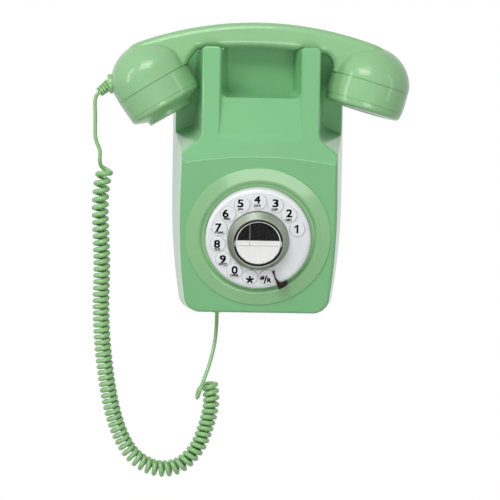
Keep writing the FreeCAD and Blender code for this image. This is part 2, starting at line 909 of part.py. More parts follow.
def hub_ring():
    """Bright ring round the redial button."""
    side = disc_face + hub_side
    top = disc_face + hub_height
    return on_dial(turned([
        (hub_bore, disc_face), (hub_radius, disc_face), (hub_radius, side, 0.8), (hub_crown_radius, top, 0.8),
        (hub_bore, top - 0.4),
    ]))


def redial_button():
    """Round black button with a recess for its card and a stem down to the middle dome."""
    under = disc_face - disc_thickness
    low = key_bottom()
    top = disc_face + redial_height
    floor = top - lens_thickness - card_thickness - fit_gap
    cup = redial_radius - redial_wall
    button = turned([
        (cup, low), (redial_radius + redial_lip, low), (redial_radius + redial_lip, under - slide_gap),
        (redial_radius, under - slide_gap), (redial_radius, top, 0.6), (redial_recess_radius, top),
        (redial_recess_radius, floor), (0, floor), (0, floor - redial_wall), (cup, floor - redial_wall),
    ])
    stem = upright(redial_stem_radius, low, floor - redial_wall)
    return on_dial(fused([button, stem]))


def label_card():
    floor = disc_face + redial_height - lens_thickness - card_thickness - fit_gap
    return on_dial(upright(redial_recess_radius - fit_gap, floor, floor + card_thickness))


def label_lens():
    top = disc_face + redial_height
    lens = turned([(0, top - lens_thickness), (redial_recess_radius - fit_gap, top - lens_thickness),
                   (redial_recess_radius - fit_gap, top, 0.3), (0, top)])
    return on_dial(lens)


def finger_stop():
    """Curved finger stop: it stands on the bezel and reaches in over the disc."""
    low = disc_face + key_proud + slide_gap
    high = low + stop_thickness

    def profile(height):
        tip = V(11.2, -25.0, height)
        tip_side = V(13.3, -24.3, height)
        hook_start = V(21.0, -34.8, height)
        hook_tip = V(22.9, -32.6, height)
        hook_heel = V(23.4, -34.8, height)
        corner = V(16.6, -39.2, height)
        return Part.Wire([
            line(tip, tip_side), arc(tip_side, V(15.4, -31.6, height), hook_start), line(hook_start, hook_tip),
            line(hook_tip, hook_heel), arc(hook_heel, V(20.4, -37.6, height), corner), line(corner, tip),
        ])

    arm = prism(profile(low), Z_AXIS * (high - low))
    foot = prism(profile(bezel_dip), Z_AXIS * (low - bezel_dip))
    foot = foot.cut(upright(disc_radius + slide_gap * 2, bezel_dip, low))
    foot = foot.common(upright(bezel_dip_radius - slide_gap * 2, bezel_dip, low))
    stop = rounded(fused([arm, foot]), stop_round, lambda p: abs(p.z - high) < 0.01)
    return on_dial(stop)


# Main board
def board_back():
    return -back_thickness - standoff_height


def board_front():
    return board_back() - board_thickness


def main_board():
    board = box(-board_half_width, board_half_width, board_front(), board_back(), -board_half_height, board_half_height)
    holes = [post(place, board_screw_radius + thread_gap, board_front(), board_back()) for place in standoffs()]
    return board.cut(Part.makeCompound(holes))


def board_screws():
    top = board_front() - small_head_height
    return [screw(V(place.x, top, place.z), Y_AXIS, small_head_radius, small_head_height, board_screw_radius,
                  board_thickness + standoff_height - 1) for place in standoffs()]


def main_chip():
    front = board_front()
    return box(-8, 8, front - 2.4, front, -6, 6)


def line_transformer():
    front = board_front()
    core = box(12, 28, front - 13, front, -13, 1)
    winding = box(14, 26, front - 15, front - 13, -11, -1)
    return fused([core, winding])


def ringer_capacitor():
    front = board_front()
    return rod(capacitor_radius, V(11, front - capacitor_radius, 11), V(26, front - capacitor_radius, 11))


def board_sockets():
    """Sockets on the main board for the keypad's ribbon, the handset lead and the ringer."""
    front = board_front()
    ribbon = box(-ribbon_half_width - 1, ribbon_half_width + 1, ribbon_end_y, front, ribbon_end_z - 2.5, ribbon_end_z + 2.5)
    handset = box(inner_lead_end.x - 5, inner_lead_end.x + 5, front - 8, front, inner_lead_end.z, inner_lead_end.z + 10)
    ringer = box(8, 16, front - 6, front, -22, -16)
    return [ribbon, handset, ringer]


def strip(points, thickness, half_width):
    """Flat ribbon across X that follows straight runs in the YZ plane, with mitred corners."""
    sides = [[], []]
    for i, p in enumerate(points):
        before = (p - points[max(i - 1, 0)])
        after = (points[min(i + 1, len(points) - 1)] - p)
        if before.Length == 0:
            before = after
        if after.Length == 0:
            after = before
        before = V(before).normalize()
        after = V(after).normalize()
        lean = (before + after).normalize()
        normal = V(0, -lean.z, lean.y)
        reach = thickness / 2 / lean.dot(before)
        for side, sign in zip(sides, (1, -1)):
            side.append(p + normal * reach * sign - X_AXIS * half_width)
    return prism(sharp(sides[0] + sides[1][::-1]), X_AXIS * 2 * half_width)


def keypad_cable():
    start = dial_point(0, ribbon_rise, keypad_top - keypad_thickness - keypad_socket_height)
    end = V(0, ribbon_end_y, ribbon_end_z)
    route = [start, start - face_out * 8, V(0, -48, -14), V(0, -32, 8), end - Y_AXIS * 7, end]
    return strip(route, ribbon_thickness, ribbon_half_width)


# Ringer
def gong_places():
    return [V(-gong_x, 0, gong_z), V(gong_x, 0, gong_z)]


def ringer_front():
    return -back_thickness - ringer_metal


def ringer_screw_places():
    return [V(-27, 0, -31), V(27, 0, -31), V(0, 0, -75)]


def ringer_base():
    """Steel plate with the two gong posts."""
    plate = box(-32, 32, ringer_front(), -back_thickness, -80, -27)
    gong_inside = gong_rim_y - gong_depth + gong_metal
    posts = [post(place, gong_post_radius, ringer_front(), gong_inside) for place in gong_places()]
    base = fused([plate] + posts)
    cuts = [post(place, gong_screw_radius + thread_gap, ringer_front() - 2, gong_inside) for place in gong_places()]
    cuts += [post(place, plate_screw_radius + thread_gap, 0, 2 * ringer_front()) for place in ringer_screw_places()]
    cuts.append(post(V(0, 0, pivot_z), pivot_radius, 0, 2 * ringer_front()))
    return base.cut(Part.makeCompound(cuts))


def plate_screws():
    """The same short screws hold the ringer base and the hook bracket to the back plate."""
    top = ringer_front() - small_head_height
    places = ringer_screw_places() + bracket_screw_places()
    return [screw(V(place.x, top, place.z), Y_AXIS, small_head_radius, small_head_height, plate_screw_radius,
                  plate_screw_length) for place in places]


def ringer_yoke():
    """Soft-iron core with a pole at each end and a foot back to the base."""
    pole_out = pole_half_gap + pole_metal
    core = rod(core_radius, V(-pole_out, coil_y, coil_z), V(pole_out, coil_y, coil_z))
    poles = both_sides(box(pole_half_gap, pole_out, coil_y - core_radius - 1, ringer_front(),
                           coil_z - core_radius - 1, coil_z + core_radius + 1))
    tips = both_sides(box(pole_half_gap, pole_out, clapper_y - clapper_half_depth, clapper_y + clapper_half_depth,
                          pole_end_z, coil_z))
    return fused([core] + poles + tips)


def ringer_coil():
    """Bobbin with its winding on the core."""
    half = coil_half_length
    axis = V(0, coil_y, coil_z)
    winding = rod(coil_radius, axis - X_AXIS * half, axis + X_AXIS * half)
    cheeks = [rod(coil_radius + 1, axis + X_AXIS * x, axis + X_AXIS * (x + bobbin_cheek)) for x in
              (-half, half - bobbin_cheek)]
    bore = rod(core_radius + fit_gap, axis - X_AXIS * half, axis + X_AXIS * half)
    return fused([winding] + cheeks).cut(bore)


def gong(side):
    """Bell: a metal cup with a round shoulder, open to the wall."""
    rim = V(side * gong_x, gong_rim_y, gong_z)

    def cup(radius, depth, bend):
        solid = rod(radius, rim, rim - Y_AXIS * depth)
        return rounded(solid, bend, lambda p: abs(p.y - rim.y + depth) < 0.01)

    outer = cup(gong_radius, gong_depth, gong_round)
    inner = cup(gong_radius - gong_metal, gong_depth - gong_metal, gong_round - gong_metal)
    hole = rod(gong_screw_radius + thread_gap, rim, rim - Y_AXIS * 2 * gong_depth)
    return outer.cut(inner).cut(hole)


def gong_screws():
    top = gong_rim_y - gong_depth - gong_head_height
    return [screw(V(place.x, top, place.z), Y_AXIS, gong_head_radius, gong_head_height, gong_screw_radius,
                  gong_metal + 8) for place in gong_places()]


def clapper_arm():
    return pivot_z - gong_z


def ball_radius():
    reach = clapper_arm() * math.sin(math.radians(clapper_swing))
    return gong_x - gong_radius - reach - strike_gap


def bell_clapper():
    """Armature over the poles, a hub on the pin, and the rod with its ball between the gongs."""
    near = clapper_y - clapper_half_depth
    far = clapper_y + clapper_half_depth
    hub = rod(hub_outer, V(0, near, pivot_z), V(0, far, pivot_z))
    top = pole_end_z - pole_air
    armature = box(-pole_half_gap - pole_metal, pole_half_gap + pole_metal, near, far, top - armature_metal, top)
    stalk = rod(stalk_radius, V(0, clapper_y, pivot_z), V(0, clapper_y, gong_z))
    ball = Part.makeSphere(ball_radius(), V(0, clapper_y, gong_z))
    bore = rod(pivot_radius + thread_gap, V(0, near - 1, pivot_z), V(0, far + 1, pivot_z))
    return fused([hub, armature, stalk, ball]).cut(bore)


def clapper_pin():
    """Pivot pin: a shoulder behind the hub and a head in front of it."""
    near = clapper_y - clapper_half_depth - slide_gap
    far = clapper_y + clapper_half_depth + slide_gap
    pin = post(V(0, 0, pivot_z), pivot_radius, -back_thickness, near)
    shoulder = post(V(0, 0, pivot_z), pivot_radius + 1.2, ringer_front(), far)
    head = post(V(0, 0, pivot_z), pivot_radius + 1, near, near - 1)
    return fused([pin, shoulder, head])


# Hook switch
def hook_plungers():
    """Two posts through the saddle, joined by a bridge below the finger pocket."""
    near = grip_y - bridge_half_depth
    far = grip_y + bridge_half_depth
    bridge = box(-plunger_x - plunger_radius, plunger_x + plunger_radius, near, far,
                 bridge_bottom, bridge_bottom + bridge_height)
    posts = [rod(plunger_radius, place + Z_AXIS * bridge_bottom, place + Z_AXIS * case_top).common(
        under_grip(seat_gap)) for place in plunger_places()]
    guide = rod(guide_radius, V(0, grip_y, guide_low), V(0, grip_y, bridge_bottom))
    return fused([bridge, guide] + posts)


def bracket_screw_places():
    return [V(-2, 0, 40), V(12, 0, 40)]


def hook_bracket():
    """Steel shelf on the back plate under the bridge, with a turned-up back and side webs."""
    low = shelf_top - shelf_metal
    back = -back_thickness
    front = grip_y - bridge_half_depth - 3
    shelf = box(shelf_left, shelf_right, front, back, low, shelf_top)
    flange = box(shelf_left, shelf_right, back - ringer_metal, back, low, shelf_top + shelf_flange)
    parts = [shelf, flange]
    for x in (shelf_left, shelf_right - ringer_metal):
        web = sharp([V(x, back, shelf_top), V(x, grip_y / 2, shelf_top), V(x, back, shelf_top + shelf_flange)])
        parts.append(prism(web, X_AXIS * ringer_metal))
    holes = [rod(guide_radius + plunger_gap, V(0, grip_y, low), V(0, grip_y, shelf_top))]
    holes += [post(place, plate_screw_radius + thread_gap, back, back - ringer_metal)
              for place in bracket_screw_places()]
    return fused(parts).cut(Part.makeCompound(holes))


def hook_spring():
    return tube(spring_radius, spring_bore, V(0, grip_y, shelf_top), V(0, grip_y, bridge_bottom))


def hook_switch():
    """Small switch on the shelf with its nib under the bridge."""
    body = box(switch_left, switch_left + 8, grip_y - 6, grip_y + 14, shelf_top, shelf_top + 10)
    nib = box(switch_left + 3, switch_left + 5, grip_y - 1, grip_y + 1, shelf_top + 9, bridge_bottom - dome_gap)
    return fused([body, nib])


# Line socket and cord grommet
def socket_box(grow, low, high):
    return box(socket_x - socket_width / 2 - grow, socket_x + socket_width / 2 + grow,
               socket_y - socket_depth / 2 - grow, socket_y + socket_depth / 2 + grow, low, high)


def line_socket():
    """Modular line socket, open downwards, with its stepped mouth and contact wires' ridge."""
    body = socket_box(0, socket_bottom, socket_bottom + socket_height)
    half = mouth_width / 2
    mouth = box(socket_x - half, socket_x + half, socket_y - mouth_depth / 2, socket_y + mouth_depth / 2,
                socket_bottom, socket_bottom + mouth_height)
    latch = box(socket_x - half / 2, socket_x + half / 2, socket_y - mouth_depth / 2 - 1.6, socket_y,
                socket_bottom, socket_bottom + mouth_height)
    ear = box(socket_x - socket_width / 2, socket_x + socket_width / 2, socket_y + socket_depth / 2,
              -back_thickness, socket_bottom + socket_height - 4, socket_bottom + socket_height)
    return fused([body, ear]).cut(mouth).cut(latch)


def cord_grommet():
    """Solid gland in the case's underside that the cord comes out of."""
    foot = V(grommet_x, grommet_y, 0)
    body = rod(grommet_radius, foot + Z_AXIS * grommet_low, foot + Z_AXIS * grommet_high)
    collar = rod(grommet_radius + 1.5, foot + Z_AXIS * (grommet_high - 1.6), foot + Z_AXIS * grommet_high)
    return fused([body, collar])


# Handset
def cup_turn(tilt_angle):
    return FreeCAD.Rotation(Y_AXIS, -tilt_angle)


def on_mouth(shape):
    return placed(shape, mouth_seam, cup_turn(mouth_tilt))


def on_ear(shape):
    return placed(shape, ear_seam, cup_turn(ear_tilt))


def cup_form(side, height, inset):
    """Dome over a round cup: a short straight side, then a tight and a wide arc, turned about Z."""
    radius = cup_radius - inset
    rise = height - inset
    tight = dome_rim_share * (radius + rise)
    wide = ((radius - tight) ** 2 + rise ** 2 - tight ** 2) / (2 * (rise - tight))
    tight_centre = V(radius - tight, 0, side)
    wide_centre = V(0, 0, side + rise - wide)
    away = (tight_centre - wide_centre).normalize()
    meet = tight_centre + away * tight
    rim = V(radius, 0, side)
    crown = V(0, 0, side + rise)
    tight_middle = tight_centre + (away + X_AXIS).normalize() * tight
    wide_middle = wide_centre + (away + Z_AXIS).normalize() * wide
    low = V(0, 0, -inset)
    edge = V(radius, 0, -inset)
    profile = [line(low, edge), line(edge, rim), arc(rim, tight_middle, meet), arc(meet, wide_middle, crown),
               line(crown, low)]
    return Part.Face(Part.Wire(profile)).revolve(ORIGIN, Z_AXIS, 360)


def seam_end(seam, tilt_angle, side):
    """Inner end of a cup's seam, seen from the front."""
    turn = math.radians(tilt_angle)
    return seam + V(math.cos(turn), 0, math.sin(turn)) * side * cup_radius


def arch_height(x, inset):
    return grip_top - grip_top_radius + math.sqrt((grip_top_radius - inset) ** 2 - (x - grip_top_x) ** 2)


def under_height(x, inset):
    return grip_under - grip_under_radius + math.sqrt((grip_under_radius + inset) ** 2 - (x - grip_under_x) ** 2)


def arch_way(p):
    """Direction of the grip's top line at one of its points, to the right."""
    out = p - V(grip_top_x, 0, grip_top - grip_top_radius)
    return V(out.z, 0, -out.x).normalize()


def grip_form(inset):
    """Grip of the handset: two arcs that run down into the domes, seen from the front, and a waist from above."""
    reach = 2 * cup_radius

    def top(x):
        return V(x, 0, arch_height(x, inset))

    def under(x):
        return V(x, 0, under_height(x, inset))

    if inset:
        left = mouth_seam.x + 2 * inset
        right = ear_seam.x - 2 * inset
        edges = [arc(top(left), top(grip_top_x), top(right)), line(top(right), under(right)),
                 arc(under(right), under(grip_under_x), under(left)), line(under(left), top(left))]
    else:
        left = top(grip_mouth_bend)
        right = top(grip_ear_bend)
        mouth = seam_end(mouth_seam, mouth_tilt, 1) - Y_AXIS * grip_y
        ear = seam_end(ear_seam, ear_tilt, -1) - Y_AXIS * grip_y
        mouth_middle = mouth_seam - Y_AXIS * grip_y
        ear_middle = ear_seam - Y_AXIS * grip_y
        edges = [arc(left, top(grip_top_x), right), tangent_arc(right, arch_way(right), grip_ear_drop)]
        edges += [line(grip_ear_drop, ear_middle), line(ear_middle, ear), arc(ear, ear_web, under(ear_web_end))]
        edges += [arc(under(ear_web_end), under(grip_under_x), under(mouth_web_end)),
                  arc(under(mouth_web_end), mouth_web, mouth), line(mouth, mouth_middle),
                  line(mouth_middle, grip_mouth_drop), tangent_arc(left, -arch_way(left), grip_mouth_drop)]
    front_view = prism(Part.Wire(edges), Y_AXIS * reach)
    front_view.translate(V(0, grip_y - reach / 2, 0))
    waist = grip_half_depth - inset
    flare = waist + grip_flare

    def plan(x, out):
        return V(x, grip_y + out, 0)

    near_side = arc(plan(grip_mouth_side, -flare), plan(0, -waist), plan(grip_ear_side, -flare))
    far_side = arc(plan(grip_ear_side, flare), plan(0, waist), plan(grip_mouth_side, flare))
    ear_end = arc(plan(grip_ear_side, -flare), plan(grip_ear_tip, 0), plan(grip_ear_side, flare))
    mouth_end = arc(plan(grip_mouth_side, flare), plan(grip_mouth_tip, 0), plan(grip_mouth_side, -flare))
    top_view = prism(Part.Wire([near_side, ear_end, far_side, mouth_end]), Z_AXIS * 2 * grip_top)
    return front_view.common(top_view)


def grip_skin():
    """Grip with its long edges rounded, and the ends that run down into the domes."""
    def long_edge(p):
        on_side = abs(p.y - grip_y) > grip_half_depth - 1
        on_end = p.x < grip_mouth_side or p.x > grip_ear_side
        on_top = p.z > min(grip_mouth_drop.z, grip_ear_drop.z) + grip_round / 2
        return on_side and abs(p.x) < mouth_rounding_reach or on_end and on_top
    return rounded(grip_form(0), grip_round, long_edge)


def handset_shell():
    """Hollow shell: the grip and the two domes, open where the caps close them."""
    outer = fused([grip_skin(), on_mouth(cup_form(mouth_side, mouth_dome, 0)), on_ear(cup_form(ear_side, ear_dome, 0))])
    inner = [grip_form(handset_wall), on_mouth(cup_form(mouth_side, mouth_dome, handset_wall)),
             on_ear(cup_form(ear_side, ear_dome, handset_wall))]
    neck = rod(boot_neck_radius + fit_gap, boot_root - boot_way() * 12, boot_root + boot_way() * 2)
    return outer.cut(inner[0].multiFuse(inner[1:])).cut(neck)


def boot_way():
    turn = math.radians(boot_angle)
    return V(math.cos(turn), 0, math.sin(turn))


def cap_seam():
    """Corners of the fine groove where a cap meets the shell."""
    groove = cup_radius - seam_depth
    return [(groove, 0), (groove, -seam_width), (cup_radius, -seam_width)]


def transmitter_cap():
    """Screwed mouthpiece: a tapering wall, a fine groove, a cone and a flat collar with its holes."""
    inner = cup_radius - handset_wall - spigot_gap
    skirt = inner - spigot_wall
    face = -mouth_collar_depth
    cap = turned([
        (skirt, spigot_height), (inner, spigot_height), (inner, 0)] + cap_seam() + [(mouth_line_radius, -15.4),
        (mouth_line_radius - line_depth, -15.5), (mouth_line_radius - line_depth, -15.9),
        (mouth_line_radius - 0.05, -16.0), (mouth_line_radius - 0.6, -19.6, 3.5), (mouth_cone_radius, -23.6, 0.8),
        (mouth_collar_radius, face, 0.6), (0, face), (0, face + mouth_face_wall),
        (mouth_collar_radius - 2.2, face + mouth_face_wall), (mouth_cone_radius - 2.2, -21.4),
        (mouth_line_radius - 4, -18.2, 2.0), (skirt, -15.5),
    ])
    ring = tube(mic_radius + 1.8, mic_radius + fit_gap, V(0, 0, face + mouth_face_wall - 0.2),
                V(0, 0, face + mouth_face_wall + mic_depth * 0.8))
    return on_mouth(fused([cap, ring]).cut(Part.makeCompound(sound_holes(mouth_hole_rings, face))))


def sound_holes(rings, face):
    """Round holes through a cap's face, in rings of (count, circle radius)."""
    holes = []
    for count, circle in rings:
        for i in range(count):
            place = round_dial(circle, 360 * i / count, face - 1)
            holes.append(rod(sound_hole_radius, place, place + Z_AXIS * 8))
    return holes


def microphone_capsule():
    floor = -mouth_collar_depth + mouth_face_wall
    return on_mouth(upright(mic_radius, floor, floor + mic_depth))


def receiver_cap():
    """Screwed earpiece: a straight wall, a fine groove, a round rim and a dished face with its holes."""
    inner = cup_radius - handset_wall - spigot_gap
    skirt = inner - spigot_wall
    cap = turned([
        (skirt, spigot_height), (inner, spigot_height), (inner, 0)] + cap_seam() + [(ear_wall_radius, -10.5),
        (ear_wall_radius - 0.3, -15.8), (ear_wall_radius - 0.7, -15.9), (ear_wall_radius - 0.7, -16.3),
        (ear_wall_radius - 0.5, -16.4), (ear_wall_radius - 1.2, -21.6, 3.6), (22.0, -22.4, 3.0), (12.0, -19.6, 8.0),
        (0, -19.2), (0, -16.9), (12.0, -17.2, 8.0), (21.8, -19.6, 3.0), (ear_wall_radius - 3.8, -18.6, 2.0), (skirt, -12),
    ])
    ring = tube(speaker_radius + 1.5, speaker_radius + fit_gap, V(0, 0, -19.4), V(0, 0, ear_ring_top))
    return on_ear(fused([cap, ring]).cut(Part.makeCompound(sound_holes(ear_hole_rings, -20.0))))


def receiver_capsule():
    """Speaker: a wide basket with a smaller magnet behind it."""
    basket = upright(speaker_radius, ear_speaker_low, ear_speaker_low + speaker_depth / 2)
    magnet = upright(speaker_radius / 2, ear_speaker_low, ear_speaker_low + speaker_depth)
    return on_ear(fused([basket, magnet]))


def cord_boot():
    """Strain relief on the handset: a round flange on the shell and a slotted, tapering sleeve."""
    way = boot_way()
    sleeve = turned([(0, 0), (boot_root_radius, 0), (boot_tip_radius, boot_length), (0, boot_length)])
    slots = []
    for i in range(boot_slots):
        low = boot_slot_first + boot_slot_pitch * i
        reach = boot_root_radius + 1
        slot = box(-reach, reach, -reach, reach, low, low + boot_slot_width)
        spine = box(-reach, reach, -boot_spine, boot_spine, low, low + boot_slot_width)
        core = upright(boot_core, low, low + boot_slot_width)
        slots.append(slot.cut(core).cut(spine))
    sleeve = placed(sleeve.cut(Part.makeCompound(slots)), boot_root, FreeCAD.Rotation(Z_AXIS, way))
    turn = math.radians(boot_flange_angle)
    off = V(math.cos(turn), 0, math.sin(turn))
    flange = turned([(0, -boot_flange_depth), (boot_flange_radius, -boot_flange_depth),
                     (boot_flange_radius, boot_flange_out, boot_flange_round), (0, boot_flange_out)])
    flange = placed(flange, boot_root, FreeCAD.Rotation(Z_AXIS, off))
    neck = rod(boot_neck_radius, boot_root - way * boot_neck_length, boot_root)
    dome_skin = on_mouth(cup_form(mouth_side, mouth_dome, 0))
    return fused([fused([sleeve, flange]).cut(dome_skin), neck])


# Cord
def bend_radii(points):
    """Radius at each inner point: 0.45 of the shorter run beside it, over the tangent of half the turn."""
    radii = []
    for i in range(1, len(points) - 1):
        before = points[i] - points[i - 1]
        after = points[i + 1] - points[i]
        half = before.getAngle(after) / 2
        radii.append(bend_share * min(before.Length, after.Length) / math.tan(half))
    return radii


def lead(name, points, diameter):
    """Round wire along straight runs joined by tangent arcs."""
    radii = bend_radii(points)
    path = outline(list(zip(points, [0] + radii + [0])), closed=False)
    ring = Part.Wire(Part.makeCircle(diameter / 2, points[0], points[1] - points[0]))
    wire = path.makePipeShell([ring], True, False)
    section = math.pi * diameter ** 2 / 4
    print(name, "bend radii", [round(r, 1) for r in radii], "volume over section times length",
          round(wire.Volume / section / path.Length, 4))
    return wire


def biarc(start, start_way, end, end_way):
    """Two tangent arcs from one point and direction to another."""
    span = end - start
    both = start_way + end_way
    bend = 2 * (1 - start_way.dot(end_way))
    reach = span.dot(both)
    if bend < 1e-9:
        size = span.dot(span) / (4 * span.dot(end_way))
    else:
        size = (math.sqrt(reach ** 2 + bend * span.dot(span)) - reach) / bend
    meet = (start + end + (start_way - end_way) * size) / 2
    meet_way = (end - end_way * size - start - start_way * size).normalize()
    return [tangent_arc(start, start_way, meet), tangent_arc(meet, meet_way, end)]


def tangent_arc(start, way, end):
    chord = end - start
    ahead = V(chord).normalize()
    aside = way - ahead * way.dot(ahead)
    if aside.Length < 1e-6:
        return line(start, end)
    half = way.getAngle(ahead) / 2
    middle = (start + end) / 2 + aside.normalize() * (chord.Length / 2 * math.tan(half))
    return arc(start, middle, end)


def coil_points():
    """Points of the wire's middle line, a quarter turn apart: the curls keep their pitch on the inside of a bend."""
    middle = Part.BSplineCurve()
    middle.interpolate(coil_route)
    total = middle.length()
    radius = (coil_diameter - wire_diameter) / 2
    stations = [0.0]
    for _ in range(curls * steps_per_curl):
        bend = middle.curvature(middle.parameterAtDistance(min(stations[-1], total)))
        pitch = (curl_pitch + first_curl_extra * math.exp(-stations[-1] / curl_ease)) / (1 - radius * bend)
        stations.append(stations[-1] + pitch / steps_per_curl)
    side = V(-1, 0, 0)
    points = []
    for i, station in enumerate(stations):
        at = middle.parameterAtDistance(station * total / stations[-1])
        ahead = middle.tangent(at)[0]
        side = (side - ahead * side.dot(ahead)).normalize()
        turn = 2 * math.pi * i / steps_per_curl
        points.append(middle.value(at) + (side * math.cos(turn) + ahead.cross(side) * math.sin(turn)) * radius)
    return points


def wound(points, first_way, last_way):
    """Edges of one unbroken line through the points, with a biarc between each two."""
    ways = [first_way]
    for before, after in zip(points, points[2:]):
        ways.append((after - before).normalize())
    ways.append(last_way)
    edges = []
    for i in range(len(points) - 1):
        edges += biarc(points[i], ways[i], points[i + 1], ways[i + 1])
    return edges


def cord_coil():
    turns = coil_points()[1:]
    first_way = (coil_entry[1] - coil_entry[0]).normalize()
    last_way = (coil_exit[1] - coil_exit[0]).normalize()
    edges = [line(coil_entry[0], coil_entry[1])]
    edges += wound([coil_entry[1]] + turns + [coil_exit[0]], first_way, last_way)
    edges.append(line(coil_exit[0], coil_exit[1]))
    path = Part.Wire(edges)
    ring = Part.Wire(Part.makeCircle(wire_diameter / 2, coil_entry[0], first_way))
    coil = path.makePipeShell([ring], True, False)
    section = math.pi * wire_diameter ** 2 / 4
    tightest = min(e.Curve.Radius for e in edges if hasattr(e.Curve, "Radius"))
    print("cord_coil wire length", round(path.Length), "tightest bend", round(tightest, 2),
          "least gap", round(least_gap(edges), 2),
          "volume over section times length", round(coil.Volume / section / path.Length, 4))
    return coil


def least_gap(edges):
    """Least distance between two stretches of the wire's surface more than half a turn apart."""
    samples = []
    walked = 0.0
    for edge in edges:
        parts = max(2, int(edge.Length / 0.8))
        for j in range(parts):
            share = (edge.LastParameter - edge.FirstParameter) * j / parts
            samples.append((walked + edge.Length * j / parts, edge.valueAt(edge.FirstParameter + share)))
        walked += edge.Length
    cell = 2 * wire_diameter
    cells = {}
    for station, p in samples:
        cells.setdefault((int(p.x // cell), int(p.y // cell), int(p.z // cell)), []).append((station, p))
    apart = math.pi * (coil_diameter - wire_diameter) / 2
    least = 1e9
    for (i, j, k), here in cells.items():
        around = [q for a in (-1, 0, 1) for b in (-1, 0, 1) for c in (-1, 0, 1)
                  for q in cells.get((i + a, j + b, k + c), [])]
        for station, p in here:
            for other, q in around:
                if other - station > apart:
                    least = min(least, (p - q).Length)
    return least - wire_diameter


def cord_upper_lead():
    tip = boot_root + boot_way() * boot_length
    leave = tip + boot_way() * first_run
    return lead("cord_upper_lead", [tip, leave] + upper_lead_route + [coil_entry[0]], lead_diameter)


def cord_lower_lead():
    start = V(grommet_x, grommet_y, grommet_low)
    arrive = coil_exit[1] + (coil_exit[1] - coil_exit[0]).normalize() * last_run
    return lead("cord_lower_lead", [start] + lower_lead_route + [arrive, coil_exit[1]], lead_diameter)


def inner_lead():
    start = V(grommet_x, grommet_y, grommet_high)
    return lead("inner_lead", [start] + inner_lead_route + [inner_lead_end], wire_diameter)


def handset_wires():
    """Wires inside the handset, from the boot to the microphone and along the grip to the speaker."""
    mic = lead("microphone wires", mic_wire_route, inner_wire_diameter)
    ear = lead("speaker wires", ear_wire_route, inner_wire_diameter)
    return [mic, ear]


PIECES = {
    "front_case": front_case,
    "back_plate": back_plate,
    "case_screws": case_screws,
    "dial_bezel": dial_bezel,
    "dial_frame": dial_frame,
    "frame_screws": frame_screws,
    "dial_plate": dial_plate,
    "keypad_mat": keypad_mat,
    "keypad_board": keypad_board,
    "keypad_screws": keypad_screws,
    "hub_ring": hub_ring,
    "redial_button": redial_button,
    "label_card": label_card,
    "label_lens": label_lens,
    "finger_stop": finger_stop,
    "main_board": main_board,
    "board_screws": board_screws,
    "main_chip": main_chip,
    "line_transformer": line_transformer,
    "ringer_capacitor": ringer_capacitor,
    "board_sockets": board_sockets,
    "keypad_cable": keypad_cable,
    "ringer_base": ringer_base,
    "plate_screws": plate_screws,
    "ringer_yoke": ringer_yoke,
    "ringer_coil": ringer_coil,
    "gong_left": lambda: gong(-1),
    "gong_right": lambda: gong(1),
    "gong_screws": gong_screws,
    "bell_clapper": bell_clapper,
    "clapper_pin": clapper_pin,
    "hook_plungers": hook_plungers,
    "hook_bracket": hook_bracket,
    "hook_spring": hook_spring,
    "hook_switch": hook_switch,
    "line_socket": line_socket,
    "cord_grommet": cord_grommet,
    "inner_lead": inner_lead,
    "handset_shell": handset_shell,
    "transmitter_cap": transmitter_cap,
    "receiver_cap": receiver_cap,
    "microphone_capsule": microphone_capsule,
    "receiver_capsule": receiver_capsule,
    "handset_wires": handset_wires,
    "cord_boot": cord_boot,
    "cord_upper_lead": cord_upper_lead,
    "cord_coil": cord_coil,
    "cord_lower_lead": cord_lower_lead,
}


def save(name, made):
    shape = Part.makeCompound(made) if isinstance(made, list) else made
    solids = shape.Solids
    bad = [s for s in solids if not s.isValid() or s.Volume <= 0]
    if bad or (not isinstance(made, list) and len(solids) != 1):
        print(name, "solids", len(solids), "not valid", len(bad))
    shape.exportStep("parts/" + name + ".step")


def main():
    os.makedirs("parts", exist_ok=True)
    for name, make in PIECES.items():
        save(name, make())
    for index, name in enumerate(key_names):
        save("key_" + name, key(index))


main()
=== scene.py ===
"""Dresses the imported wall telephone: materials, dial print, curly cord, light and camera."""
import json
import math

import bmesh
import bpy
from mathutils import Matrix, Vector


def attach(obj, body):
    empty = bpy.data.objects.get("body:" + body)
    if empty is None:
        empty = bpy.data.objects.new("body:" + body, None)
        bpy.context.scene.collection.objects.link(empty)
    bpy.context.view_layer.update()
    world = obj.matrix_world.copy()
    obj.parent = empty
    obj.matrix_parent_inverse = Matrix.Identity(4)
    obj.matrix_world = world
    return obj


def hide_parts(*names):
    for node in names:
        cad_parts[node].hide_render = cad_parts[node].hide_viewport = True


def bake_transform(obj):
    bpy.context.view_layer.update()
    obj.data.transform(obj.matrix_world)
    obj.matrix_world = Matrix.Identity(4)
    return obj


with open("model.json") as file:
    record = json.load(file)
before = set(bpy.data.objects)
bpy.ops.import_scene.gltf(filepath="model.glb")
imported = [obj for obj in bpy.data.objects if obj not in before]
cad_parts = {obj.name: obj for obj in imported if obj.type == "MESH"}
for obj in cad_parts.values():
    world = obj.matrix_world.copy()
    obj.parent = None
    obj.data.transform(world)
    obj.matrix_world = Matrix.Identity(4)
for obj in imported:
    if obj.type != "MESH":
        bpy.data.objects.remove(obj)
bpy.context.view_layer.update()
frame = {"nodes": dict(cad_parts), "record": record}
nodes = frame["nodes"]
scene = bpy.context.scene
MM = 0.001

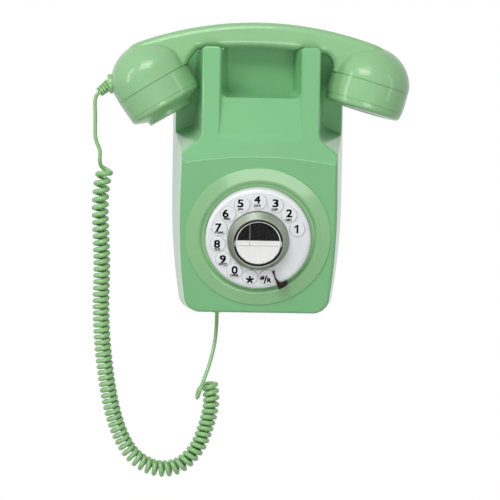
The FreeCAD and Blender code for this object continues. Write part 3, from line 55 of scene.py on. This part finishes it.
# The tilted face that carries the dial, as in the CAD source. Heights are out from the face
FACE_TILT = math.radians(17.0)
FACE_UP = Vector((0, -math.sin(FACE_TILT), math.cos(FACE_TILT)))
FACE_OUT = Vector((0, -math.cos(FACE_TILT), -math.sin(FACE_TILT)))
CREASE = Vector((0, -96.76, 19.5)) * MM
DIAL_DROP = 64.3
DIAL_CENTRE = CREASE - FACE_UP * DIAL_DROP * MM
DISC_FACE = 6.3
KEY_PROUD = 0.7
KEY_TOP = DISC_FACE + KEY_PROUD
REDIAL_HEIGHT = 6.9
LENS_THICKNESS = 1.2
LENS_GAP = 0.05
BUTTON_TOP = DISC_FACE + REDIAL_HEIGHT
CARD_TOP = BUTTON_TOP - LENS_THICKNESS - LENS_GAP


def dial_matrix(u, v, w):
    """Axes of a spot on the dial: right, up the face and out of it. u, v and w are in millimetres."""
    at = DIAL_CENTRE + (Vector((u, 0, 0)) + FACE_UP * v + FACE_OUT * w) * MM
    turn = Matrix((Vector((1, 0, 0)), FACE_UP, FACE_OUT)).transposed()
    return Matrix.Translation(at) @ turn.to_4x4()


def mesh_of(source):
    """Mesh of a text or curve object as it stands."""
    bpy.context.view_layer.update()
    return bpy.data.meshes.new_from_object(source.evaluated_get(bpy.context.evaluated_depsgraph_get()))


def placed(name, data):
    """New object in the scene."""
    thing = bpy.data.objects.new(name, data)
    scene.collection.objects.link(thing)
    return thing


# Camera: 1.4 m in front of the handset, a little to the left and looking slightly down
EYE = Vector((-29.0, -1467.0, 40.0)) * MM
YAW = math.radians(0.948)
PITCH = math.radians(3.787)
ROLL = math.radians(1.0)
PICTURE_PIXELS = 500.0
FOCAL_PIXELS = 1820.0
SENSOR_WIDTH = 36.0


def add_camera():
    """Camera of the photo, with its place, its three turns and its long lens."""
    ahead = Vector((math.sin(YAW) * math.cos(PITCH), math.cos(YAW) * math.cos(PITCH), -math.sin(PITCH)))
    right = Vector((math.cos(YAW), -math.sin(YAW), 0))
    up = right.cross(ahead)
    across = right * math.cos(ROLL) + up * math.sin(ROLL)
    upward = up * math.cos(ROLL) - right * math.sin(ROLL)
    camera = placed("camera", bpy.data.cameras.new("camera"))
    camera.data.sensor_width = SENSOR_WIDTH
    camera.data.lens = FOCAL_PIXELS / PICTURE_PIXELS * SENSOR_WIDTH
    camera.data.clip_start = 0.05
    camera.matrix_world = Matrix.Translation(EYE) @ Matrix((across, upward, -ahead)).transposed().to_4x4()
    scene.camera = camera


# Materials. Noise scales are in waves to the metre, and reliefs in metres
PLASTIC_SHADES = 14.0
PLASTIC_GLOSS = 700.0
METAL_SHADES = 60.0
METAL_GLOSS = 300.0
METAL_SCRATCHES = 900.0
LENS_GLOSS = 200.0
INK_SHADES = 400.0
NOISE_LOW = 0.3
NOISE_HIGH = 0.7
PLASTIC_RELIEF = 0.000006
METAL_RELIEF = 0.00001


def srgb(r, g, b):
    """Linear colour of an 8-bit screen colour."""
    def linear(c):
        c /= 255.0
        return c / 12.92 if c <= 0.04045 else ((c + 0.055) / 1.055) ** 2.4
    return (linear(r), linear(g), linear(b), 1.0)


def darker(colour, share):
    """The colour with each channel at a share of its strength."""
    return tuple(c * share for c in colour[:3]) + (1.0,)


def new_material(name):
    """Material with its node tree and its one shader."""
    material = bpy.data.materials.new(name)
    material.use_nodes = True
    tree = material.node_tree
    return material, tree, tree.nodes["Principled BSDF"]


def noise(tree, scale, detail=3.0):
    """Noise that stays in place on the object."""
    place = tree.nodes.new("ShaderNodeTexCoord")
    texture = tree.nodes.new("ShaderNodeTexNoise")
    texture.inputs["Scale"].default_value = scale
    texture.inputs["Detail"].default_value = detail
    texture.inputs["Roughness"].default_value = 0.5
    tree.links.new(place.outputs["Object"], texture.inputs["Vector"])
    return texture.outputs["Fac"]


def ramp(tree, source, low, high, start, end):
    """Spread of values between two numbers as the noise goes from low to high."""
    spread = tree.nodes.new("ShaderNodeMapRange")
    spread.inputs["From Min"].default_value = low
    spread.inputs["From Max"].default_value = high
    spread.inputs["To Min"].default_value = start
    spread.inputs["To Max"].default_value = end
    tree.links.new(source, spread.inputs["Value"])
    return spread.outputs["Result"]


def varied_colour(tree, shader, colour, other, scale):
    """Base colour that wanders between two colours."""
    mix = tree.nodes.new("ShaderNodeMix")
    mix.data_type = "RGBA"
    mix.inputs["A"].default_value = colour
    mix.inputs["B"].default_value = other
    tree.links.new(ramp(tree, noise(tree, scale), 0.35, 0.65, 0.0, 1.0), mix.inputs["Factor"])
    tree.links.new(mix.outputs["Result"], shader.inputs["Base Color"])


def varied_gloss(tree, shader, scale, smooth, rough):
    """Roughness that wanders between two values."""
    spread = ramp(tree, noise(tree, scale), NOISE_LOW, NOISE_HIGH, smooth, rough)
    tree.links.new(spread, shader.inputs["Roughness"])


def bump(tree, shader, height, strength, distance):
    """Fine relief from the noise, with its depth in metres."""
    node = tree.nodes.new("ShaderNodeBump")
    node.inputs["Strength"].default_value = strength
    node.inputs["Distance"].default_value = distance
    tree.links.new(height, node.inputs["Height"])
    tree.links.new(node.outputs["Normal"], shader.inputs["Normal"])


def moulded(name, colour, roughness=0.30, coat=0.4, change=0.03, grain=3200.0):
    """Moulded plastic: slow shade changes, a faint orange-peel skin and slightly uneven gloss."""
    material, tree, shader = new_material(name)
    varied_colour(tree, shader, colour, darker(colour, 1 - change), PLASTIC_SHADES)
    varied_gloss(tree, shader, PLASTIC_GLOSS, roughness - 0.02, roughness + 0.03)
    shader.inputs["Specular IOR Level"].default_value = 0.2
    shader.inputs["Coat Weight"].default_value = coat
    shader.inputs["Coat Roughness"].default_value = 0.08
    bump(tree, shader, noise(tree, grain, 2.0), 0.2, PLASTIC_RELIEF)
    return material


def metal(name, colour, roughness):
    """Metal with uneven gloss and fine scratches."""
    material, tree, shader = new_material(name)
    varied_colour(tree, shader, colour, darker(colour, 0.9), METAL_SHADES)
    shader.inputs["Metallic"].default_value = 1.0
    varied_gloss(tree, shader, METAL_GLOSS, roughness * 0.8, roughness * 1.25)
    bump(tree, shader, noise(tree, METAL_SCRATCHES, 4.0), 0.15, METAL_RELIEF)
    return material


def clear(name):
    """Clear plastic that bends light little, so that the card under it stays in place."""
    material, tree, shader = new_material(name)
    shader.inputs["Base Color"].default_value = (1, 1, 1, 1)
    shader.inputs["Transmission Weight"].default_value = 1.0
    shader.inputs["IOR"].default_value = 1.1
    varied_gloss(tree, shader, LENS_GLOSS, 0.02, 0.06)
    return material


def print_ink(name, colour):
    """Printed or painted surface without shine."""
    material, tree, shader = new_material(name)
    varied_colour(tree, shader, colour, darker(colour, 0.97), INK_SHADES)
    shader.inputs["Roughness"].default_value = 0.5
    shader.inputs["Specular IOR Level"].default_value = 0.1
    return material


GREEN = moulded("green_plastic", srgb(123, 187, 130))
PALE_GREEN = moulded("pale_green_plastic", srgb(140, 190, 137))
DEEP_GREEN = moulded("deep_green_plastic", srgb(98, 168, 108), roughness=0.4)
CORD_GREEN = moulded("cord_sheath", srgb(138, 186, 124), roughness=0.3, coat=0.5, grain=5200.0)
WHITE = moulded("white_plastic", srgb(231, 234, 236), roughness=0.22, coat=0.5, change=0.02)
BLACK = moulded("black_plastic", srgb(10, 10, 10), roughness=0.35, coat=0.1)
HUB = metal("hub_metal", srgb(134, 142, 130), 0.42)
STOP = metal("stop_metal", srgb(50, 42, 38), 0.16)
STEEL = metal("plain_steel", srgb(176, 176, 172), 0.34)
BRASS = metal("spun_brass", srgb(205, 168, 96), 0.24)
WINDING = metal("lacquered_wire", srgb(168, 92, 48), 0.38)
BOARD = moulded("circuit_board", srgb(38, 98, 58), roughness=0.45, change=0.2, grain=3000.0)
SOCKET = moulded("socket_plastic", srgb(206, 202, 188), roughness=0.5)
RUBBER = moulded("silicone_rubber", srgb(96, 100, 98), roughness=0.6, coat=0.0)
GREY_WIRE = moulded("wire_sheath", srgb(110, 112, 110), roughness=0.5, coat=0.0)
CAN = metal("pressed_can", srgb(190, 192, 194), 0.3)
CARD = print_ink("card_white", srgb(205, 205, 203))
INK = print_ink("black_ink", srgb(12, 12, 13))
RULE_INK = print_ink("rule_ink", srgb(128, 128, 126))
LENS = clear("clear_lens")

FINISH = {
    "green_plastic": GREEN, "dark_green": DEEP_GREEN, "white_plastic": WHITE, "black_plastic": BLACK,
    "hub_metal": HUB, "stop_metal": STOP, "clear_plastic": LENS, "card": CARD, "steel": STEEL,
    "gong_brass": BRASS, "winding": WINDING, "board": BOARD, "socket_plastic": SOCKET, "soft_rubber": RUBBER,
    "cord_green": CORD_GREEN, "wire_sheath": GREY_WIRE, "capsule_metal": CAN,
}
PALE_NODES = ("dial_bezel", "handset_shell", "transmitter_cap", "receiver_cap")


def dress_nodes():
    """Each CAD node in the material of its slot. The dial's bezel and the handset are a little paler."""
    slots = {entry["node"]: entry["material_slot"] for entry in frame["record"]["subparts"]}
    for name, node in nodes.items():
        material = PALE_GREEN if name in PALE_NODES else FINISH[slots[name]]
        if not node.material_slots:
            node.data.materials.append(material)
        for each in node.material_slots:
            each.material = material


# Dial print, in millimetres
PRINT_LIFT = 0.02
PRINT_THICK = 0.04
SHAPE_THICK = 0.015
DIGIT_HEIGHT = 6.5
DIGIT_WIDTH = 4.7
DIGIT_HEAVY = 0.26
LETTER_HEIGHT = 2.1
LETTER_WIDTH = 1.6
LETTER_HEAVY = 0.13

# Middle of each number and of its letters on the dial, right and up from the dial's own middle
DIGITS = {
    "1": (28.9, 9.6, "", 0, 0), "2": (23.0, 22.2, "ABC", 22.7, 16.9), "3": (12.4, 30.1, "DEF", 12.0, 25.0),
    "4": (-1.4, 32.7, "GHI", -1.3, 27.9), "5": (-14.1, 29.5, "JKL", -13.7, 24.7),
    "6": (-25.2, 21.2, "MNO", -24.1, 17.0), "7": (-30.4, 9.9, "PQRS", -29.8, 5.7),
    "8": (-31.3, -3.5, "TUV", -31.0, -7.9), "9": (-26.7, -15.8, "WXYZ", -26.6, -19.9),
    "0": (-17.5, -24.6, "OPER", -17.7, -29.0),
}

# The hash key's three signs: character, height, width, and middle on the dial
SIGNS = {
    "hash": ("#", 3.8, 3.5, 3.9, -30.8),
    "slash": ("/", 6.4, 2.7, 6.3, -32.0),
    "recall": ("R", 3.8, 3.2, 9.1, -32.6),
}

# The one's outline round its own middle
ONE_OUTLINE = [(0.0, -3.35), (1.4, -3.35), (1.4, 3.35), (0.3, 3.35), (-1.7, 2.0), (-1.7, 0.75), (0.0, 1.6)]
STAR_MIDDLE = (-5.7, -32.4)
STAR_REACH = 3.1
STAR_STROKE = 1.6
STAR_ARMS = 5


def lettering(name, words, height, width, heavy, matrix):
    """Flat printed characters, centred on their place and made heavier by copies a little aside."""
    text = bpy.data.curves.new(name, "FONT")
    text.body = words
    text.extrude = 0.02
    text.resolution_u = 6
    source = placed(name, text)
    mesh = mesh_of(source)
    bpy.data.objects.remove(source)
    low = Vector([min(v.co[i] for v in mesh.vertices) for i in range(3)])
    high = Vector([max(v.co[i] for v in mesh.vertices) for i in range(3)])
    sizes = [(wanted - 2 * heavy) * MM / (b - a) for wanted, a, b in zip((width, height), low, high)]
    thin = PRINT_THICK * MM / (high.z - low.z)
    scale = Matrix.Diagonal((*sizes, thin, 1)) @ Matrix.Translation(-(low + high) / 2)
    joined = bmesh.new()
    for aside, above in ((0, 0), (1, 1), (1, -1), (-1, 1), (-1, -1)):
        copy = mesh.copy()
        copy.transform(matrix @ Matrix.Translation(Vector((aside, above, 0)) * heavy * MM) @ scale)
        joined.from_mesh(copy)
    joined.to_mesh(mesh)
    joined.free()
    mesh.materials.clear()
    mesh.materials.append(INK)
    return placed(name, mesh)


def star_outline():
    """Outline of a star with straight arms, one of them pointing up."""
    middle_u, middle_v = STAR_MIDDLE
    half = math.pi / STAR_ARMS
    notch = STAR_STROKE / 2 / math.sin(half)
    outline = []
    for arm in range(STAR_ARMS):
        way = math.pi / 2 + 2 * half * arm
        for aside in (-STAR_STROKE / 2, STAR_STROKE / 2):
            outline.append((middle_u + STAR_REACH * math.cos(way) - aside * math.sin(way),
                            middle_v + STAR_REACH * math.sin(way) + aside * math.cos(way)))
        between = way + half
        outline.append((middle_u + notch * math.cos(between), middle_v + notch * math.sin(between)))
    return outline


def flat_shape(name, outline, material, w, body):
    """Thin printed shape on the dial from its outline, riding on a moving body."""
    mesh = bpy.data.meshes.new(name)
    count = len(outline)
    low = [dial_matrix(u, v, w) @ Vector() for u, v in outline]
    high = [dial_matrix(u, v, w + SHAPE_THICK) @ Vector() for u, v in outline]
    faces = [tuple(range(count))[::-1], tuple(range(count, 2 * count))]
    faces += [(i, (i + 1) % count, count + (i + 1) % count, count + i) for i in range(count)]
    mesh.from_pydata([tuple(p) for p in low + high], [], faces)
    mesh.update()
    mesh.materials.append(material)
    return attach(placed(name, mesh), body)


def key_print():
    """Numbers, letters and signs, each on its own key. The one is drawn as an outline."""
    top = KEY_TOP + PRINT_LIFT
    for key, (u, v, letters, letters_u, letters_v) in DIGITS.items():
        if key == "1":
            flat_shape("print_1", [(u + x, v + y) for x, y in ONE_OUTLINE], INK, top, "key_1")
            continue
        digit = lettering("print_" + key, key, DIGIT_HEIGHT, DIGIT_WIDTH, DIGIT_HEAVY, dial_matrix(u, v, top))
        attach(digit, "key_" + key)
        small = lettering("letters_" + key, letters, LETTER_HEIGHT, LETTER_WIDTH * len(letters), LETTER_HEAVY,
                          dial_matrix(letters_u, letters_v, top))
        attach(small, "key_" + key)
    flat_shape("print_star", star_outline(), INK, top, "key_star")
    for name, (character, height, width, u, v) in SIGNS.items():
        sign = lettering("print_" + name, character, height, width, DIGIT_HEAVY, dial_matrix(u, v, top))
        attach(sign, "key_hash")


# The card's print, in millimetres from the dial's middle
CARD_BLACK_RADIUS = 16.3
ARC_STEPS = 60
CHORD_V = 1.55
RULE_V = -2.66
RULE_REACH = 15.4
RULE_WIDTH = 0.4
DIVIDER_U = -6.5
DIVIDER_END_V = 14.7
MARK_NEAR = 17.3
MARK_FAR = 18.1
SHAPE_LIFT = 0.002
DIVIDER_LIFT = 0.02


def rectangle(u0, u1, v0, v1):
    """Outline of a rectangle between two places across and two places up the face."""
    return [(u0, v0), (u1, v0), (u1, v1), (u0, v1)]


def card_print():
    """The card under the lens: black above, white below, with thin rules and no words."""
    half = RULE_WIDTH / 2
    start = math.asin(CHORD_V / CARD_BLACK_RADIUS)
    turns = [start + (math.pi - 2 * start) * i / ARC_STEPS for i in range(ARC_STEPS + 1)]
    arc = [(CARD_BLACK_RADIUS * math.cos(a), CARD_BLACK_RADIUS * math.sin(a)) for a in turns]
    divider = rectangle(DIVIDER_U - half, DIVIDER_U + half, RULE_V, DIVIDER_END_V)
    rule = rectangle(-RULE_REACH, RULE_REACH, RULE_V - half, RULE_V + half)
    left_mark = rectangle(-MARK_FAR, -MARK_NEAR, RULE_V, CHORD_V)
    right_mark = rectangle(MARK_NEAR, MARK_FAR, RULE_V, CHORD_V)
    flat_shape("card_black_half", arc, INK, CARD_TOP + SHAPE_LIFT, "redial")
    flat_shape("card_divider", divider, RULE_INK, CARD_TOP + DIVIDER_LIFT, "redial")
    flat_shape("card_rule", rule, RULE_INK, CARD_TOP + SHAPE_LIFT, "redial")
    flat_shape("rim_mark_left", left_mark, CARD, BUTTON_TOP + SHAPE_LIFT, "redial")
    flat_shape("rim_mark_right", right_mark, CARD, BUTTON_TOP + SHAPE_LIFT, "redial")


# Cord, in millimetres. The curls stand a little further apart at the handset's end
WIRE = 3.8
LEAD = 3.0
COIL = 13.4
CURLS = 68
CURL_PITCH = 4.45
FIRST_CURL_EXTRA = 2.2
CURL_EASE = 50.0
STEPS = 16
BEND_REACH = 6
COIL_ROUTE = [
    (-117.6, -66, 9.4), (-120.2, -66.5, -0.6), (-121.7, -66, -20.0), (-120.9, -65.5, -42.0),
    (-119.9, -64.5, -68.0), (-120.4, -63, -94.4), (-119.2, -61, -124.1), (-115.9, -59, -153.5),
    (-111.2, -57, -179.0), (-104.2, -54.8, -200.3), (-93.7, -52.4, -217.0), (-76.7, -50, -226.6),
    (-58.2, -47.6, -224.6), (-44.9, -45, -211.4), (-38.4, -42.4, -195.9), (-34.6, -39.8, -181.0),
    (-34.0, -38, -170.0), (-35.2, -37, -162.0),
]
BOOT_ROOT = Vector((-115.3, -67.0, 73.0))
BOOT_TURN = math.radians(219.7)
BOOT_WAY = Vector((math.cos(BOOT_TURN), 0, math.sin(BOOT_TURN)))
UPPER_LEAD = [
    BOOT_ROOT + BOOT_WAY * 10.4, BOOT_ROOT + BOOT_WAY * 14.0, Vector((-126.7, -67, 58.6)),
    Vector((-126.1, -67, 47.5)), Vector((-126.3, -67, 33.0)), Vector((-124.7, -66.6, 27.6)),
    Vector((-122.3, -66, 22.4)),
]
LOWER_LEAD = [
    Vector((-30.6, -27.0, -105.2)), Vector((-30.6, -27.0, -113.0)), Vector((-31.4, -30.6, -127.0)),
    Vector((-34.2, -35.5, -140.0)), Vector((-37.6, -40.5, -151.0)), Vector((-40.9, -44.2, -159.5)),
    Vector((-43.2, -45.0, -166.5)), Vector((-44.6, -42.6, -171.0)), Vector((-45.2, -38.2, -172.8)),
    Vector((-45.4, -34.3, -171.2)),
]

# Where the leads run into the curls: end, direction there, pull of each end, and points of the bend.
# The upper lead takes the place of the helix's first points
UPPER_END = Vector((-122.3, -66, 18.9))
UPPER_END_WAY = Vector((0, 0, -1))
UPPER_PULLS = (0.4, 0.4)
UPPER_BEND_POINTS = 6
UPPER_TAKES = 3
LOWER_END = Vector((-44.7, -31.35, -168.1))
LOWER_END_WAY = Vector((-2.6, -3.4, -6.8)).normalized()
LOWER_PULLS = (0.3, 0.6)
LOWER_BEND_POINTS = 8


def through(points):
    """Control points that bring the smooth line back onto the points themselves."""
    inner = [b - (a - b * 2 + c) / 8 for a, b, c in zip(points, points[1:], points[2:])]
    return [points[0]] + inner + [points[-1]]


def guided(name, points, fineness):
    """Curve object with one smooth line that the points pull."""
    curve = bpy.data.curves.new(name, "CURVE")
    curve.dimensions = "3D"
    curve.resolution_u = fineness
    spline = curve.splines.new("NURBS")
    spline.points.add(len(points) - 1)
    for place, point in zip(spline.points, points):
        place.co = (*point, 1.0)
    spline.order_u = 3
    spline.use_endpoint_u = True
    return placed(name + "_curve", curve)


def smooth_line(name, points):
    """Fine points along the smooth line that the control points pull."""
    source = guided(name, points, 12)
    line = [v.co.copy() for v in mesh_of(source).vertices]
    bpy.data.objects.remove(source)
    return line


def walk(line, shares):
    """Points at the given shares of a line's length, with the direction there."""
    reach = [0.0]
    for a, b in zip(line, line[1:]):
        reach.append(reach[-1] + (b - a).length)
    places = []
    at = 0
    for share in shares:
        wanted = share * reach[-1]
        while at < len(line) - 2 and reach[at + 1] < wanted:
            at += 1
        span = reach[at + 1] - reach[at]
        t = (wanted - reach[at]) / span
        places.append((line[at].lerp(line[at + 1], t), (line[at + 1] - line[at]).normalized()))
    return places


def bends(line):
    """Each point's way along the line and how sharply the line bends there, in radians to the millimetre."""
    found = []
    reach = 0.0
    for a, b, c in zip(line, line[1:], line[2:]):
        reach += (b - a).length
        before, after = b - a, c - b
        found.append((reach, before.angle(after) / ((before.length + after.length) / 2)))
    return found


def coil_stations(line):
    """Places of the curls' points along the line: the curls keep their pitch on the inside of a bend."""
    radius = (COIL - WIRE) / 2
    found = bends(line)
    stations = [0.0]
    at = 0
    for _ in range(CURLS * STEPS):
        while at < len(found) - 1 and found[at][0] < stations[-1]:
            at += 1
        near = found[max(0, at - BEND_REACH):at + BEND_REACH + 1]
        bend = sum(b for _, b in near) / len(near)
        pitch = (CURL_PITCH + FIRST_CURL_EXTRA * math.exp(-stations[-1] / CURL_EASE)) / (1 - radius * bend)
        stations.append(stations[-1] + pitch / STEPS)
    return stations


def helix():
    """Points of the curls, wound round the smooth line of the coil's route."""
    line = smooth_line("coil_route", through([Vector(p) for p in COIL_ROUTE]))
    stations = coil_stations(line)
    radius = (COIL - WIRE) / 2 / math.cos(math.pi / STEPS)
    side = Vector((-1, 0, 0))
    points = []
    for i, (at, ahead) in enumerate(walk(line, [s / stations[-1] for s in stations])):
        side = (side - ahead * side.dot(ahead)).normalized()
        turn = 2 * math.pi * i / STEPS
        points.append(at + (side * math.cos(turn) + ahead.cross(side) * math.sin(turn)) * radius)
    return points


def soft_bend(start, leaving, end, arriving, pulls, count):
    """Points of a soft bend with both its ends, to a tenth of a millimetre.

    The directions have length one. Each end's pull is a share of the distance between the ends.
    """
    distance = (end - start).length
    near = start + leaving * (pulls[0] * distance)
    far = end - arriving * (pulls[1] * distance)
    points = []
    for i in range(count + 1):
        t = i / count
        at = start * (1 - t) ** 3 + near * 3 * t * (1 - t) ** 2 + far * 3 * t * t * (1 - t) + end * t ** 3
        points.append(Vector([round(c, 1) for c in at]))
    return points


def tube(name, points, shares):
    """Round tube along the smooth line of the points, and that line itself, in metres.

    Each point has its share of the curls' wire diameter.
    """
    source = guided(name, [point * MM for point in points], 3)
    curve = source.data
    curve.bevel_depth = WIRE / 2 * MM
    curve.bevel_resolution = 4
    curve.use_fill_caps = True
    for place, share in zip(curve.splines[0].points, shares):
        place.radius = share
    mesh = mesh_of(source)
    curve.bevel_depth = 0
    path = [v.co.copy() for v in mesh_of(source).vertices]
    bpy.data.objects.remove(source)
    mesh.materials.clear()
    mesh.materials.append(CORD_GREEN)
    for face in mesh.polygons:
        face.use_smooth = True
    return placed(name, mesh), path


def add_cord():
    """One sheathed wire from the handset's boot, through the curls, to the gland under the case."""
    curls = helix()
    first = curls[UPPER_TAKES]
    first_way = (curls[UPPER_TAKES + 1] - curls[UPPER_TAKES - 1]).normalized()
    last_way = (curls[-1] - curls[-2]).normalized()
    into = soft_bend(UPPER_END, UPPER_END_WAY, first, first_way, UPPER_PULLS, UPPER_BEND_POINTS)[:-1]
    out = soft_bend(curls[-1], last_way, LOWER_END, LOWER_END_WAY, LOWER_PULLS, LOWER_BEND_POINTS)[1:]
    upper = UPPER_LEAD + into
    lower = out + LOWER_LEAD[::-1]
    curls = curls[UPPER_TAKES:]
    shares = [LEAD / WIRE] * len(upper) + [1.0] * len(curls) + [LEAD / WIRE] * len(lower)
    piece, path = tube("handset_cord", upper + curls + lower, shares)
    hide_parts("cord_upper_lead", "cord_coil", "cord_lower_lead")
    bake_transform(piece)


# Surroundings, in metres. The wall carries the telephone, and the floor is far below it
WALL_Y = 0.001
FLOOR_Z = -1.2
FLOOR_NEAR = -2.4
STAGE_HALF_WIDTH = 2.2
WALL_TOP = 1.9
WALL_SHADE = 0.4
FLOOR_SHADE = 0.6
FLOOR_SHADOW = 0.3
WORLD_LEVEL = 0.1
LAMP_TARGET = (0, -0.05, 0)

# Each lamp's place, width, height and power in watts
LAMPS = {
    "top_softbox": ((-0.35, -1.1, 1.25), 1.0, 0.6, 6.0),
    "left_strip": ((-1.35, -0.75, 0.25), 0.22, 1.3, 6.0),
    "right_strip": ((1.35, -0.8, 0.25), 0.22, 1.3, 2.5),
    "front_key": ((-0.5, -1.6, 1.2), 1.2, 0.8, 20.0),
    "low_fill": ((0.2, -2.0, -0.65), 0.9, 0.6, 12.0),
}


def seen_rays(tree):
    """One for rays of the camera, of reflections and through glass, nought for the rest."""
    path = tree.nodes.new("ShaderNodeLightPath")
    result = path.outputs["Is Camera Ray"]
    for kind in ("Is Glossy Ray", "Is Transmission Ray"):
        either = tree.nodes.new("ShaderNodeMath")
        either.operation = "MAXIMUM"
        tree.links.new(result, either.inputs[0])
        tree.links.new(path.outputs[kind], either.inputs[1])
        result = either.outputs["Value"]
    return result


def seen_white(name, shade, keep):
    """Surface that the camera and reflections see as white, with a share of its real shading."""
    material, tree, shader = new_material(name)
    shader.inputs["Base Color"].default_value = (shade, shade, shade, 1)
    shader.inputs["Roughness"].default_value = 0.9
    glow = tree.nodes.new("ShaderNodeEmission")
    glow.inputs["Color"].default_value = (1, 1, 1, 1)
    share = tree.nodes.new("ShaderNodeMath")
    share.operation = "MULTIPLY"
    share.inputs[1].default_value = 1.0 - keep
    tree.links.new(seen_rays(tree), share.inputs[0])
    mix = tree.nodes.new("ShaderNodeMixShader")
    tree.links.new(share.outputs["Value"], mix.inputs["Fac"])
    tree.links.new(shader.outputs["BSDF"], mix.inputs[1])
    tree.links.new(glow.outputs["Emission"], mix.inputs[2])
    tree.links.new(mix.outputs["Shader"], tree.nodes["Material Output"].inputs["Surface"])
    return material


def stage_plane(name, corners, material):
    """Flat surface beside the object, which isn't part of it."""
    mesh = bpy.data.meshes.new(name)
    mesh.from_pydata(corners, [], [(0, 1, 2, 3)])
    mesh.materials.append(material)
    placed(name, mesh)


def add_stage():
    """Wall and floor. Only the floor keeps some of its shadow."""
    low = [(-STAGE_HALF_WIDTH, WALL_Y, FLOOR_Z), (STAGE_HALF_WIDTH, WALL_Y, FLOOR_Z)]
    high = [(STAGE_HALF_WIDTH, WALL_Y, WALL_TOP), (-STAGE_HALF_WIDTH, WALL_Y, WALL_TOP)]
    near = [(-STAGE_HALF_WIDTH, FLOOR_NEAR, FLOOR_Z), (STAGE_HALF_WIDTH, FLOOR_NEAR, FLOOR_Z)]
    stage_plane("wall", low + high, seen_white("wall_paint", WALL_SHADE, 0.0))
    stage_plane("floor", near + low[::-1], seen_white("floor_paint", FLOOR_SHADE, FLOOR_SHADOW))


def area_light(name, place, width, height, power):
    """White rectangular lamp that looks at the object."""
    lamp = bpy.data.lights.new(name, "AREA")
    lamp.shape = "RECTANGLE"
    lamp.size = width
    lamp.size_y = height
    lamp.energy = power
    thing = placed(name, lamp)
    thing.location = place
    thing.rotation_euler = (Vector(LAMP_TARGET) - Vector(place)).to_track_quat("-Z", "Y").to_euler()


def add_light():
    """The lamps, and a world that is seen as white but lights the object only a little."""
    world = bpy.data.worlds.new("studio")
    scene.world = world
    world.use_nodes = True
    tree = world.node_tree
    back = tree.nodes["Background"]
    back.inputs["Color"].default_value = (1, 1, 1, 1)
    level = tree.nodes.new("ShaderNodeMapRange")
    level.inputs["To Min"].default_value = WORLD_LEVEL
    level.inputs["To Max"].default_value = 1.0
    tree.links.new(seen_rays(tree), level.inputs["Value"])
    tree.links.new(level.outputs["Result"], back.inputs["Strength"])
    for name, (place, width, height, power) in LAMPS.items():
        area_light(name, place, width, height, power)


add_camera()
add_cord()
dress_nodes()
key_print()
card_print()
add_stage()
add_light()
scene.view_settings.view_transform = "Standard"
